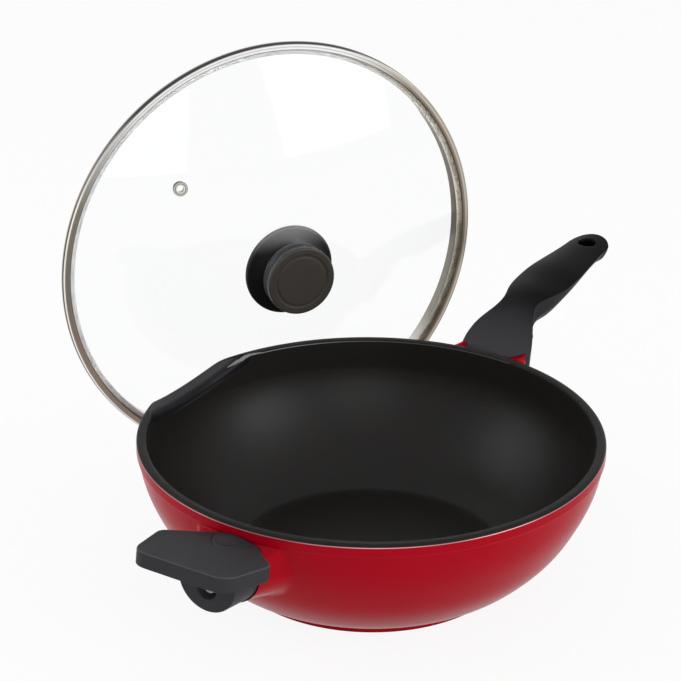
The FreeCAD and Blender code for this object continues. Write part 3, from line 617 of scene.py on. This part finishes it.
# One side of the handle: each row runs from the middle of the top, over the edge and belly, to the middle of
# the underside. Rows follow the handle, then fan round the hanging hole and the tip.
def handleSide(side):
    rim = pan["rimRadius"]
    tip = rim + grip["reach"]
    shape = gripShape()
    tipCentre, holeX, hole = tip - grip["tipRadius"], tip - grip["holeFromTip"], grip["holeRadius"]
    frontEnd, fanStart = rim + grip["blendReach"], tipCentre - grip["fanLead"]
    along = np.concatenate([np.linspace(rim + grip["cheekReach"], frontEnd, 60),
                            np.linspace(frontEnd, fanStart, 150)[1:]])
    quarter = np.linspace(0, math.pi / 2, 36)[1:]
    fanX = fanStart + (tipCentre - fanStart) * np.sin(quarter)
    outX = np.concatenate([along, fanX, tipCentre + grip["tipRadius"] * np.sin(quarter)])
    wide = shape(outX)[:, 0]
    wide[-len(quarter):] = shape(tipCentre)[0] * np.cos(quarter)
    inX = np.concatenate([along, holeX - hole * np.cos(quarter), holeX + hole * np.sin(quarter)])
    inX[len(along) - 1] = holeX - hole
    # the middle line runs up to the hole
    lead = (along[0], along[-1] - grip["holeLead"])
    inX[:len(along)] = np.interp(along, (*lead, along[-1]), (*lead, holeX - hole))
    inY = np.concatenate([0 * along, hole * np.sin(quarter), hole * np.cos(quarter)])
    inY[-1], wide[-1] = 0, 0
    reachY = np.hypot(outX - inX, wide - inY)
    # profile of each row as (distance out from the middle, height); the top's heights follow further down
    half, edge, crown, bellyHalf, belly, under = shape(outX).T
    topShare = np.concatenate([np.linspace(0, 0.8, 22), np.linspace(0.8, 1, 22)[1:-1]])
    low = under + grip["lowShare"] * (belly - under)
    bellyShare = bellyHalf / half
    levels = ((1 + 0 * half, edge), (bellyShare, belly), (grip["lowWide"] * bellyShare, low),
              (0 * half, under))
    lower = np.stack([np.stack([reachY * s, z], -1) for s, z in levels], 1)
    beside = np.stack([reachY * topShare[-3], edge + crown * (1 - topShare[-3] ** 2)], -1)[:, None]
    steps, lastCuts = 9, 14
    ring = roundedPath(np.concatenate([beside, lower], 1),
                       [0, grip["edgeRound"], grip["bellyRound"], grip["lowRound"], 0], steps)[:, 1:]
    # the straight stretches between the roundings, and the last one, are cut up
    cuts = {steps - 1: 8, 2 * steps - 1: 8, 3 * steps - 1: lastCuts}
    fine = [ring[:, :1]]
    for i in range(ring.shape[1] - 1):
        t = np.linspace(0, 1, cuts.get(i, 1) + 1)[1:, None]
        fine.append(ring[:, i:i + 1] * (1 - t) + ring[:, i + 1:i + 2] * t)
    ring = np.concatenate(fine, 1)
    topCount = len(topShare) - 2
    topOut = topShare[None, :topCount] * reachY[:, None]
    share = np.concatenate([topOut, ring[..., 0]], 1) / reachY[:, None].clip(1e-6)
    x = inX[:, None] + share * (outX - inX)[:, None]
    y = inY[:, None] + share * (wide - inY)[:, None]
    # the front of the hood: a rounded tongue over the lug's top, notches beside it, cheeks down the sides
    isTop = np.arange(share.shape[1]) < topCount
    cheekStart = rim + grip["cheekReach"]
    seat = rim + lug["length"]
    tongue = tongueFront(side * y)
    cheek = smoothStep(y, grip["cheekHalf"] - 0.6, grip["cheekHalf"] + 0.2)
    front = np.where(isTop[None, :], tongue * (1 - cheek) + cheekStart * cheek, cheekStart)
    back = ((frontEnd - x) / (frontEnd - cheekStart)).clip(0, 1)
    x = x + back * (front - cheekStart)
    local = shape(x)
    topZ = local[..., 1] + local[..., 2] * (1 - (y / local[..., 0]) ** 2)
    z = np.concatenate([topZ[:, :topCount], ring[..., 1]], 1)
    fromHole = np.hypot(x - holeX, y) - hole
    z[:, :topCount] -= edgeFall(fromHole[:, :topCount], grip["holeRound"])
    z[:, -lastCuts:] += edgeFall(fromHole[:, -lastCuts:], grip["holeRound"])
    outer = np.stack([x, y, z], -1)
    # the hood's front edge turns in and runs back inside
    first = outer[:1]
    inward = (first - [0, 0, grip["hoodCentre"]]) * [0, 1, 1]
    inward /= np.linalg.norm(inward, axis=-1, keepdims=True)
    lipIn = first - inward * grip["skin"]
    deep = lipIn.copy()
    deep[..., 0] = np.maximum(lipIn[..., 0], seat + 1.0)
    end = deep.copy()
    end[..., 1:] = (0, grip["hoodCentre"])
    outer = np.concatenate([end, deep, lipIn, first + (lipIn - first) * 0.3 - [0.25, 0, 0], outer])
    # wall of the hanging hole, from the top's inner edge down to the underside's
    bore = slice(len(outer) - 2 * len(quarter) - 1, None)
    upper, lowerEdge = outer[bore, 0], outer[bore, -1]
    t = np.linspace(0, 1, 8)[None, :, None]
    wallHalf = upper[:, None] * (1 - t) + lowerEdge[:, None] * t
    # the edge and all below it take painted light, and on a stretch of the edge painted shade stands for a
    # dark crease
    topFace, sides, crease = range(3)
    edgeEnd = topCount + 8
    finish = np.full((outer.shape[0] - 1, outer.shape[1] - 1), topFace)
    finish[:, edgeEnd:] = sides
    reach = outer[:-1, topCount:edgeEnd, 0] - rim
    start, stop = grip["creaseShadeReach"]
    finish[:, topCount:edgeEnd][(reach > start) & (reach < stop)] = crease
    return [(outer * [1, side, 1], False, finish), (wallHalf * [1, side, 1], False, sides)]


# The hood carries a painted sheen, and the facet under its waist painted light, which fades to painted shade
# along the grip's sides.
for name in ("gripTopSheen", "gripSideLightShade"):
    span = [pan["rimRadius"] + reach for reach in grip[name + "Reach"]]
    fadeAlong(finishes[name], "X", span, grip[name + "Tint"])
addPiece("longHandleGrip", handleSide(1) + handleSide(-1),
         [finishes[name] for name in ("gripTopSheen", "gripSideLightShade", "gripCreaseShade")], "pan", ["long_handle"])


sideGrip = {
    "thickness": 9.6, "level": 86.8, "rise": 8.8, "rimGap": 1.6, "neckHalf": 14.0, "wingHalf": 40.6,
    "wingReach": 21.8, "tipHalf": 33.6, "reach": 59.0, "cornerRadius": 11.0, "wingRadius": 5.0,
    "edgeRound": 0.9, "lowRound": 0.3, "hump": 2.6, "humpRadius": 38.0, "humpBlend": 0.12, "crease": 0.7,
    "creaseWidth": 0.25, "barrelRadius": 20.4, "barrelRoot": 23.5, "barrelLevel": 71.2, "barrelReach": 31.0,
    "barrelRound": 0.8, "jointReach": 9.7, "recessRadius": 6.8, "recessReach": 24.4, "recessRound": 0.6,
    "screwHeight": 66.0, "jointHeights": (76.0, 79.0), "crownSunk": 0.4,
}


# Height of the housing's crown at a distance to the side, level along the handle.
def sideCrown(y):
    ball = sideGrip["humpRadius"]
    return sideGrip["level"] + sideGrip["hump"] - ball + np.sqrt((ball ** 2 - y ** 2).clip(0))


# Rounded outline carried down the plate's edge, with the top and underside filled towards its middle. The
# whole is built on +X, tipped up by its rise, then turned to face -X.
def sidePlate():
    rim = pan["rimRadius"]
    inner, wing, outer = rim + sideGrip["rimGap"], rim + sideGrip["wingReach"], rim + sideGrip["reach"]
    right = [(inner, 0), (inner, sideGrip["neckHalf"]), (wing, sideGrip["wingHalf"]),
             (outer, sideGrip["tipHalf"]), (outer, 0)]
    rounds = [0, 2.0, sideGrip["wingRadius"], sideGrip["cornerRadius"], 0]
    side = subdivided(roundedPath(right, rounds, 12), 0.6)
    outline = np.concatenate([side, (side * [1, -1])[-2:0:-1]])
    step = np.roll(outline, -1, 0) - np.roll(outline, 1, 0)
    normal = np.stack([step[:, 1], -step[:, 0]], -1) / np.linalg.norm(step, axis=1, keepdims=True)
    if ((outline - outline.mean(0)) * normal).sum() < 0:
        normal = -normal
    thick, r, low = sideGrip["thickness"], sideGrip["edgeRound"], sideGrip["lowRound"]
    turn = np.linspace(0, math.pi / 2, 7)
    inset = np.concatenate([r - r * np.sin(turn), low - low * np.cos(turn)])
    drop = np.concatenate([r - r * np.cos(turn), thick - low + low * np.sin(turn)])
    middle = np.array([0.5 * (inner + outer), 0])
    flat = outline[:, None] - normal[:, None] * inset[None, :, None]
    topCount, lowCount = 100, 15
    topXY = middle + (flat[:, :1] - middle) * np.linspace(0, 1, topCount + 1)[None, :-1, None]
    lowXY = middle + (flat[:, -1:] - middle) * np.linspace(1, 0, lowCount + 1)[None, 1:, None]
    xy = np.concatenate([topXY, flat, lowXY], 1)
    deep = np.concatenate([np.zeros(topCount), -drop, np.full(lowCount, -thick)])[None, :]
    # tip up about the top edge at the pan, then let the housing's crown stand through it
    tilt = math.radians(sideGrip["rise"])
    along = xy[..., 0] - inner
    x = inner + along * math.cos(tilt) - deep * math.sin(tilt)
    z = sideGrip["level"] + along * math.sin(tilt) + deep * math.cos(tilt)
    crown = sideCrown(xy[..., 1])
    crease = sideGrip["crease"] * np.exp(-((z - crown) / sideGrip["creaseWidth"]) ** 2)
    onTop = np.arange(z.shape[1]) < topCount
    z = np.where(onTop[None, :], softHigher(z, crown, sideGrip["humpBlend"]) - crease, z)
    # the top keeps the plastic's colour; the sides take a lit copy of it as painted light, and a strip of the
    # top edge's rounding a painted highlight
    top, sides, topEdgeHighlight = range(3)
    finish = np.full(z.shape[1] - 1, sides)
    finish[:topCount] = top
    finish[topCount + 1:topCount + 5] = topEdgeHighlight
    return np.stack([-x, -xy[..., 1], z], -1), True, finish[None, :]


# Cone about an axis along X whose end face runs in to an offset round recess for the screw. Its crown runs on
# to the rim, while the sides and bottom stop flush at the lug's end.
def sideBarrel():
    rim = pan["rimRadius"]
    start, end, floor = rim + sideGrip["rimGap"], rim + sideGrip["barrelReach"], rim + sideGrip["recessReach"]
    level, screw = sideGrip["barrelLevel"], sideGrip["screwHeight"]
    hole, radius, r = sideGrip["recessRadius"], sideGrip["barrelRadius"], sideGrip["barrelRound"]
    mouth = hole + sideGrip["recessRound"]
    turn = np.linspace(0, math.pi / 2, 8)
    # columns of (distance along X, radius, height of the ring's centre)
    columns = [(floor, 0.0, screw), (floor, hole, screw), (end - sideGrip["recessRound"], hole, screw),
               (end, mouth, screw)]
    columns += [(end, mouth + s * (radius - r - mouth), screw + s * (level - screw))
                for s in np.linspace(0, 1, 10)[1:-1]]
    columns += [(end - r + r * c, radius - r + r * s, level) for s, c in zip(np.sin(turn), np.cos(turn))]
    columns += [(end - r + (start - end + r) * s, radius + (sideGrip["barrelRoot"] - radius) * s, level)
                for s in np.linspace(0, 1, 16)[1:]]
    columns.append((start, 0.0, level))
    columns = np.array(columns)
    angle = np.linspace(0, 2 * math.pi, 120, endpoint=False)[:, None]
    y = columns[:, 1] * np.sin(angle)
    z = columns[:, 2] + columns[:, 1] * np.cos(angle)
    inset = (sideGrip["jointReach"] - sideGrip["rimGap"]) * (1 - smoothStep(z, *sideGrip["jointHeights"]))
    x = np.maximum(columns[:, 0], start + inset)
    # under the plate the crown lies a little lower, so that the plate's own top shows there
    sunk = sideGrip["crownSunk"] * (1 - smoothStep(np.abs(y), sideGrip["neckHalf"] - 2, sideGrip["neckHalf"]))
    z = np.minimum(z, sideCrown(y) - sunk)
    # the housing takes the lit copy of the plastic, painted light
    return np.stack([-x, y, z], -1), True, 1


addPiece("helperHandle", [sidePlate(), sideBarrel()],
         [finishes[name] for name in ("helperTop", "helperSideLit", "helperEdgeHighlight")], "pan", ["side_handle"])
print("pan made")


lid = {
    "radius": 151.2, "lean": 0.9, "angle": 57.1, "offset": 4.5, "restGap": 0.35, "tableGap": 0.4,
    "metal": 0.6, "flange": 5.4, "bulge": 1.4, "glass": 4.0, "edgeGap": 0.3, "rise": 27.8, "border": 9.5,
    "skirt": 8.0, "skirtClearance": 1.0, "ventRadius": 97.2, "ventAngle": 48.3, "ventHole": 3.5,
    "ventFlange": 4.9,
    # the band's painted reflections and shade by distance along its profile from the flange's inner edge: at
    # the lid's sides, round its top, and at its right as seen from the knob's side
    "tints": ((0.0, (0.05, 0.045, 0.04)), (0.45, (0.08, 0.07, 0.06)), (0.75, (0.33, 0.3, 0.24)),
              (2.6, (0.27, 0.24, 0.18)), (3.7, (0.34, 0.31, 0.25)), (3.95, (0.14, 0.11, 0.08)),
              (4.2, (0.85, 0.83, 0.78)), (5.1, (0.92, 0.9, 0.86)), (5.4, (0.05, 0.04, 0.035)),
              (6.3, (0.08, 0.06, 0.05)), (7.4, (0.34, 0.29, 0.24)), (8.4, (0.8, 0.78, 0.74))),
    "topTints": ((0.0, (0.35, 0.34, 0.33)), (0.5, (0.5, 0.48, 0.47)), (0.8, (0.9, 0.89, 0.88)),
                 (2.0, (0.85, 0.83, 0.82)), (2.4, (0.5, 0.47, 0.46)), (3.1, (0.85, 0.83, 0.82)),
                 (3.7, (0.9, 0.9, 0.9)), (4.3, (0.2, 0.19, 0.18)), (4.5, (0.03, 0.03, 0.03)),
                 (6.6, (0.04, 0.04, 0.04)), (8.4, (0.8, 0.8, 0.8))),
    "rightTints": ((0.0, (0.1, 0.08, 0.06)), (0.7, (0.1, 0.075, 0.055)), (1.3, (0.22, 0.165, 0.12)),
                   (2.2, (0.23, 0.175, 0.13)), (2.8, (0.5, 0.46, 0.4)), (3.5, (0.5, 0.46, 0.4)),
                   (4.2, (0.3, 0.24, 0.18)), (6.0, (0.5, 0.44, 0.37)), (8.0, (0.6, 0.56, 0.5))),
    # how much of the painted reflections at the right and round the top shows, by share of the turn round the
    # lid
    "rightShare": ((0.0, (0, 0, 0)), (0.57, (0, 0, 0)), (0.62, (1, 1, 1)), (0.86, (1, 1, 1)),
                   (0.92, (0, 0, 0))),
    "topShare": ((0.0, (1, 1, 1)), (0.11, (1, 1, 1)), (0.19, (0, 0, 0)), (0.88, (0, 0, 0)),
                 (0.94, (1, 1, 1))),
    # distances along the profile from which the skirt's inside and the channel's inside start, then their
    # painted shade and reflections, seen through the glass, by share of the turn
    "insideFrom": 10.5, "channelFrom": 34.8,
    "insideTints": ((0.0, (0.9, 0.9, 0.89)), (0.6, (0.9, 0.9, 0.89)), (0.67, (0.18, 0.165, 0.13)),
                    (0.73, (0.14, 0.13, 0.105)), (0.77, (0.1, 0.08, 0.055)), (0.83, (0.22, 0.2, 0.17)),
                    (0.92, (0.9, 0.9, 0.89))),
    "channelTints": ((0.0, (0.9, 0.9, 0.89)), (0.6, (0.9, 0.9, 0.89)), (0.67, (0.4, 0.37, 0.29)),
                     (0.73, (0.45, 0.42, 0.34)), (0.77, (0.95, 0.88, 0.77)), (0.88, (0.95, 0.91, 0.82)),
                     (0.94, (0.9, 0.9, 0.89))),
}
lidBall = ((lid["radius"] - lid["border"]) ** 2 + lid["rise"] ** 2) / (2 * lid["rise"])


def domeHeight(radius):
    return lid["rise"] - lidBall + np.sqrt(lidBall ** 2 - np.asarray(radius, float) ** 2)


# From the lid's own frame, knob up, to where it stands: axis tipped level, then moved out and turned round Z.
def standLid(grid):
    lean = math.radians(lid["lean"])
    lipEdge = pan["rimHeight"] - pan["lipDrop"]
    low = lid["tableGap"] + lid["radius"] * math.cos(lean)
    drop = (low - lipEdge) / math.cos(lean)
    out = pan["rimRadius"] + lid["restGap"] + float(domeHeight(drop)) * math.cos(lean) - drop * math.sin(lean)
    tipped = turnedAbout(grid, "Y", math.radians(-90 - lid["lean"])) + [out, -lid["offset"], low]
    return turnedAbout(tipped, "Z", math.radians(lid["angle"]))


# Turned dome with a flat border: outer face, rounded edge, then the inner face.
def lidGlass():
    edge = lid["radius"] - lid["bulge"] - lid["metal"] - lid["edgeGap"]
    start = lid["radius"] - lid["border"]
    top, under = -lid["metal"], -lid["metal"] - lid["glass"]
    outR = np.linspace(0, start, 70)
    inBall = lidBall - lid["glass"]
    innerStart = math.sqrt(inBall ** 2 - (lidBall - lid["rise"] + under) ** 2)
    inR = np.linspace(innerStart, 0, 70)
    outer = np.stack([outR, domeHeight(outR)], -1)
    inner = np.stack([inR, lid["rise"] - lidBall + np.sqrt(inBall ** 2 - inR ** 2)], -1)
    rim = roundedPath([outer[-1], (start + 1.5, top), (edge, top), (edge, under), inner[0]],
                      [0, 0.6, 0.8, 0.8, 0])
    return standLid(turned(np.concatenate([outer, rim[1:-1], inner]), 240)), True, 0


# Rolled channel round the glass with a skirt: the profile goes round both faces of the strip, and starts at
# the flange's inner edge.
def bandProfile():
    out, m = lid["radius"], lid["metal"]
    under = -2 * m - lid["glass"]
    flange, bulge = out - lid["flange"], out - lid["bulge"]
    skirt = pan["rimRadius"] - pan["rimWidth"] - lid["skirtClearance"]
    low = under - lid["skirt"]

    def roll(reach, high, bottom):
        swing = np.linspace(math.pi / 2, -math.pi / 2, 17)
        return np.stack([bulge + reach * np.cos(swing),
                         0.5 * (high + bottom) + 0.5 * (high - bottom) * np.sin(swing)], -1)

    bend = roundedPath([(skirt + 0.8, under), (skirt, under), (skirt, under - 1.0)], [0, 0.7, 0])
    outside = np.concatenate([[(flange, -0.5 * m), (flange + 0.3, 0)], roll(lid["bulge"], 0, under), bend,
                              [(skirt, low + 0.3), (skirt - 0.3, low), (skirt - m, low + 0.2)]])
    inside = np.concatenate([[(skirt - m, under + m)], roll(lid["bulge"] - m, -m, under + m)[::-1],
                             [(flange + 0.3, -m), (flange, -0.5 * m)]])
    return subdivided(np.concatenate([outside, inside]), 0.8)


def lidBand():
    profile = bandProfile()
    along = lengthAlong(profile)[1:]
    finish = (along > lid["insideFrom"]) * 1 + (along > lid["channelFrom"]) * 1
    return standLid(turned(profile, 360)), True, finish[None, :]


# Polished steel strip: fine lines run round it, and painted reflections, dark and pale streaks as a bent
# mirror shows, shift across the rolled profile. The painted streaks at the lid's right and round its top are
# others.
def makeBandPaintedReflections():
    material = makeFinish("bandPaintedReflections", paintedLightLooks["band"], "UV", (40, 300, 1))
    length = lengthAlong(bandProfile())[-1]
    tint = addTintRamp(material, lid["tints"], length)
    for name in ("right", "top"):
        mix = material.node_tree.nodes.new("ShaderNodeMix")
        mix.data_type = "RGBA"
        for socket, source in (("Factor", addTintRamp(material, lid[name + "Share"], 1.0, "X")), ("A", tint),
                               ("B", addTintRamp(material, lid[name + "Tints"], length))):
            material.node_tree.links.new(source, mix.inputs[socket])
        tint = mix.outputs["Result"]
    return paint(material, tint)


# the skirt's and the channel's inside, seen through the glass, painted with shade and reflections round the
# turn
def makeBandInside(name):
    material = makeFinish(name + "Steel", paintedLightLooks["channel"])
    return paint(material, addTintRamp(material, lid[name + "Tints"], 1.0, "X"))


eyelet = {
    "lip": 1.2, "rise": 0.85,
    # painted reflections and shade by distance along the profile from the lip's inner edge
    "tints": ((0.0, (0.02, 0.02, 0.015)), (0.4, (0.02, 0.02, 0.015)), (0.6, (0.75, 0.74, 0.66)),
              (1.1, (0.75, 0.74, 0.66)), (1.3, (0.03, 0.03, 0.025)), (1.75, (0.03, 0.03, 0.025)),
              (1.95, (0.55, 0.54, 0.47)), (2.4, (0.5, 0.49, 0.43)), (2.7, (0.02, 0.02, 0.015)),
              (3.6, (0.015, 0.015, 0.01))),
}


def ventEyelet():
    hole, flange, glassUnder = lid["ventHole"], lid["ventFlange"], -lid["glass"]
    lip, rise = hole - eyelet["lip"], eyelet["rise"]
    profile = roundedPath([(lip, 0.4), (lip, rise), (flange, rise), (flange, 0.2), (hole, 0.12),
                           (hole, glassUnder - 0.1), (flange - 0.4, glassUnder - 0.1),
                           (flange - 0.4, glassUnder - 0.65), (lip, glassUnder - 0.65), (lip, 0.4)],
                          [0, 0.35, 0.35, 0.1, 0, 0, 0.2, 0.2, 0.1, 0])
    profile = subdivided(profile, 0.3)
    out = lid["ventRadius"]
    tilted = turnedAbout(turned(profile, 64), "Y", math.asin(out / lidBall))
    placed = turnedAbout(tilted + [out, 0, float(domeHeight(out))], "Z", math.radians(lid["ventAngle"]))
    # the eyelet's steel is painted with reflections and shade along its profile
    steel = makeFinish("eyeletSteel", paintedLightLooks["eyelet"])
    paint(steel, addTintRamp(steel, eyelet["tints"], lengthAlong(profile)[-1]))
    return (standLid(placed), True, 0), steel


knobShape = {
    "flange": 31.6, "flangeEdge": 2.2, "footInset": 1.6, "footRise": 0.5, "waist": 15.0, "waistHeight": 9.5,
    "lipRadius": 23.4, "lipHeight": 1.6, "neck": 22.3, "topRadius": 24.0, "height": 23.0, "edgeRound": 1.5,
    "ringRadius": 18.1, "ringWidth": 2.2, "ringDepth": 0.6, "glassGap": 0.3, "bore": 4.25,
    "boreDepth": 15.0, "stemSag": (3.0, 1.6),
    # the flange's upper side carries a painted sheen: heights of the fade and its tint
    "sheenHeight": (164.0, 183.0), "sheenTint": (0.2, 0.198, 0.198),
}


# Turned from the flange up: hollow-sided stem, thin lip, neck, and a disc with one engraved ring.
def knobBody():
    k, rise = knobShape, lid["rise"]
    base, top = rise + k["glassGap"], rise + k["height"]
    under = k["flange"] - k["footInset"]
    underR = np.linspace(k["bore"], under, 12)
    low = float(domeHeight(under)) + k["glassGap"]
    high = low + k["flangeEdge"]
    waist, waistZ = k["waist"], rise + k["waistHeight"]
    shoulder = np.array((k["flange"] - 1.2, high + 0.9))
    stemTop = np.array((waist, waistZ))
    sag = 0.5 * (stemTop + shoulder) - k["stemSag"]
    t = np.linspace(0, 1, 24)[:, None]
    control = 2 * sag - 0.5 * (shoulder + stemTop)
    stem = (1 - t) ** 2 * shoulder + 2 * t * (1 - t) * control + t ** 2 * stemTop
    lipLow = waistZ + 1.2
    lipHigh = lipLow + k["lipHeight"]
    ring0, ring1 = k["ringRadius"] - k["ringWidth"] / 2, k["ringRadius"] + k["ringWidth"] / 2
    foot = roundedPath([(under, low), (k["flange"], low + k["footRise"]), (k["flange"], high), shoulder,
                        stem[1]], [0, 0.4, 0.8, 0.8, 0])[:-1]
    cap = roundedPath([stem[-2], (waist, waistZ), (k["lipRadius"], lipLow), (k["lipRadius"], lipHigh),
                       (k["neck"], lipHigh + 0.8), (k["neck"], lipHigh + 1.8), (k["topRadius"], top - 4.2),
                       (k["topRadius"], top), (ring1, top), (ring1 - 0.2, top - k["ringDepth"]),
                       (ring0 + 0.2, top - k["ringDepth"]), (ring0, top), (0, top + 0.05)],
                      [0, 1.2, 0.6, 0.6, 0.5, 0.5, 1.5, k["edgeRound"], 0.3, 0.6, 0.6, 0.3, 0])
    hollow = np.array([(0, base + k["boreDepth"]), (k["bore"], base + k["boreDepth"])])
    profile = np.concatenate([hollow, np.stack([underR, domeHeight(underR) + k["glassGap"]], -1)[:-1], foot,
                              stem[1:-2], cap])
    profile = subdivided(profile, 1.0)
    # the disc's face keeps the plastic's colour, its side takes a painted sheen, and below the lip the stem
    # and flange are darkened with painted shade
    face, stemShadeSheen, side = range(3)
    height = profile[:-1, 1]
    finish = np.where(height < lipHigh, stemShadeSheen, np.where(height < top - k["edgeRound"], side, face))
    return standLid(turned(profile, 180)), True, finish[None, :]


fadeAlong(finishes["knobStemShadeSheen"], "Z", knobShape["sheenHeight"], knobShape["sheenTint"])
bandFinishes = [makeBandPaintedReflections(), makeBandInside("inside"), makeBandInside("channel")]
knobFinishes = [finishes[name] for name in ("knobFace", "knobStemShadeSheen", "knobSideSheen")]
eyeletTube, eyeletSteel = ventEyelet()
for name, patch, pieceFinishes, node, slotName in (
        ("lidGlassDome", lidGlass(), [finishes["clearGlass"]], "lid_glass", "lid_glass"),
        ("lidRolledBand", lidBand(), bandFinishes, "lid_rim_band", "band_steel"),
        ("steamEyelet", eyeletTube, [eyeletSteel], "vent_eyelet", "band_steel"),
        ("knobTurned", knobBody(), knobFinishes, "knob", "knob_plastic")):
    addPiece(name, [patch], pieceFinishes, "lid", [node])
print("lid made")


studio = {
    "floorSize": 30.0, "floorColour": 0.9, "floorGlow": 0.9, "floorRoughness": 0.9,
    "worldLight": 0.62,
    # place in metres, size, power in watts
    "lamps": (((-1.0, 1.9, 1.0), 1.4, 17.0), ((-1.5, -1.2, 0.8), 1.2, 8.0), ((0.2, -2.0, 0.8), 1.2, 18.0)),
}


# 1 for what is seen directly, in metal or through glass, and 0 for the light that falls on the object.
def addSeenShare(tree):
    path, first, second = (tree.nodes.new("ShaderNode" + kind) for kind in ("LightPath", "Math", "Math"))
    first.operation = second.operation = "MAXIMUM"
    for source, socket in ((path.outputs["Is Camera Ray"], first.inputs[0]),
                           (path.outputs["Is Glossy Ray"], first.inputs[1]),
                           (first.outputs[0], second.inputs[0]),
                           (path.outputs["Is Transmission Ray"], second.inputs[1])):
        tree.links.new(source, socket)
    return second.outputs[0]


def addStudio():
    mesh = bpy.data.meshes.new("floor")
    s = studio["floorSize"]
    mesh.from_pydata([(-s, -s, 0), (s, -s, 0), (s, s, 0), (-s, s, 0)], [], [(0, 1, 2, 3)])
    floor = bpy.data.objects.new("floor", mesh)
    bpy.context.scene.collection.objects.link(floor)
    material = bpy.data.materials.new("paleFloor")
    material.use_nodes = True
    tree = material.node_tree
    shader = tree.nodes["Principled BSDF"]
    shader.inputs["Base Color"].default_value = (*[studio["floorColour"]] * 3, 1)
    shader.inputs["Roughness"].default_value = studio["floorRoughness"]
    shader.inputs["Specular IOR Level"].default_value = 0.0
    # the floor glows up to white where it is seen, but keeps its shadow
    glow, scale = tree.nodes.new("ShaderNodeEmission"), tree.nodes.new("ShaderNodeMath")
    glow.inputs["Strength"].default_value = 1.0
    scale.operation = "MULTIPLY"
    scale.inputs[1].default_value = studio["floorGlow"]
    tree.links.new(addSeenShare(tree), scale.inputs[0])
    mixSurfaces(tree, scale.outputs[0], shader.outputs["BSDF"], glow.outputs["Emission"], "Material Output")
    mesh.materials.append(material)
    world = bpy.data.worlds.new("studio")
    bpy.context.scene.world = world
    world.use_nodes = True
    tree = world.node_tree
    lit, seen = tree.nodes["Background"], tree.nodes.new("ShaderNodeBackground")
    lit.inputs["Strength"].default_value = studio["worldLight"]
    for background in (lit, seen):
        background.inputs["Color"].default_value = (1, 1, 1, 1)
    mixSurfaces(tree, addSeenShare(tree), lit.outputs["Background"], seen.outputs["Background"],
                "World Output")
    for number, (place, size, power) in enumerate(studio["lamps"]):
        lamp = bpy.data.lights.new(f"softbox{number}", "AREA")
        lamp.size = size
        lamp.energy = power
        holder = bpy.data.objects.new(f"softbox{number}", lamp)
        aim = Matrix.Translation(place) @ (-Vector(place)).to_track_quat("-Z", "Y").to_matrix().to_4x4()
        holder.matrix_world = aim
        bpy.context.scene.collection.objects.link(holder)


camera = {"distance": 1644.4, "azimuth": -148.0, "elevation": 29.354, "yaw": -0.7315, "pitch": 5.0357,
          "roll": 0.3591, "focalPixels": 2500.0, "imagePixels": 681, "sensor": 36.0}


# The camera looks at the origin, then turns by yaw and pitch, and rolls.
def addCamera():
    azimuth, elevation, yaw, pitch, roll = (math.radians(camera[k]) for k in
                                            ("azimuth", "elevation", "yaw", "pitch", "roll"))
    place = camera["distance"] * mm * np.array([math.cos(elevation) * math.cos(azimuth),
                                               math.cos(elevation) * math.sin(azimuth), math.sin(elevation)])
    towards = -place / np.linalg.norm(place)
    right = np.array([-math.sin(azimuth), math.cos(azimuth), 0])
    up = np.cross(right, towards)
    look = (towards * math.cos(yaw) + right * math.sin(yaw)) * math.cos(pitch) + up * math.sin(pitch)
    right = np.cross(look, (0, 0, 1))
    right /= np.linalg.norm(right)
    up = np.cross(right, look)
    right, up = (right * math.cos(roll) + up * math.sin(roll), up * math.cos(roll) - right * math.sin(roll))
    data = bpy.data.cameras.new("camera")
    data.sensor_width = camera["sensor"]
    data.lens = camera["focalPixels"] / camera["imagePixels"] * camera["sensor"]
    data.clip_start, data.clip_end = 0.05, 60
    holder = bpy.data.objects.new("camera", data)
    holder.matrix_world = Matrix([(*row, spot) for row, spot in zip(np.stack([right, up, -look], 1), place)]
                                 + [(0, 0, 0, 1)])
    bpy.context.scene.collection.objects.link(holder)
    bpy.context.scene.camera = holder


addStudio()
addCamera()
bpy.context.scene.view_settings.view_transform = "Standard"
print("studio and camera placed")
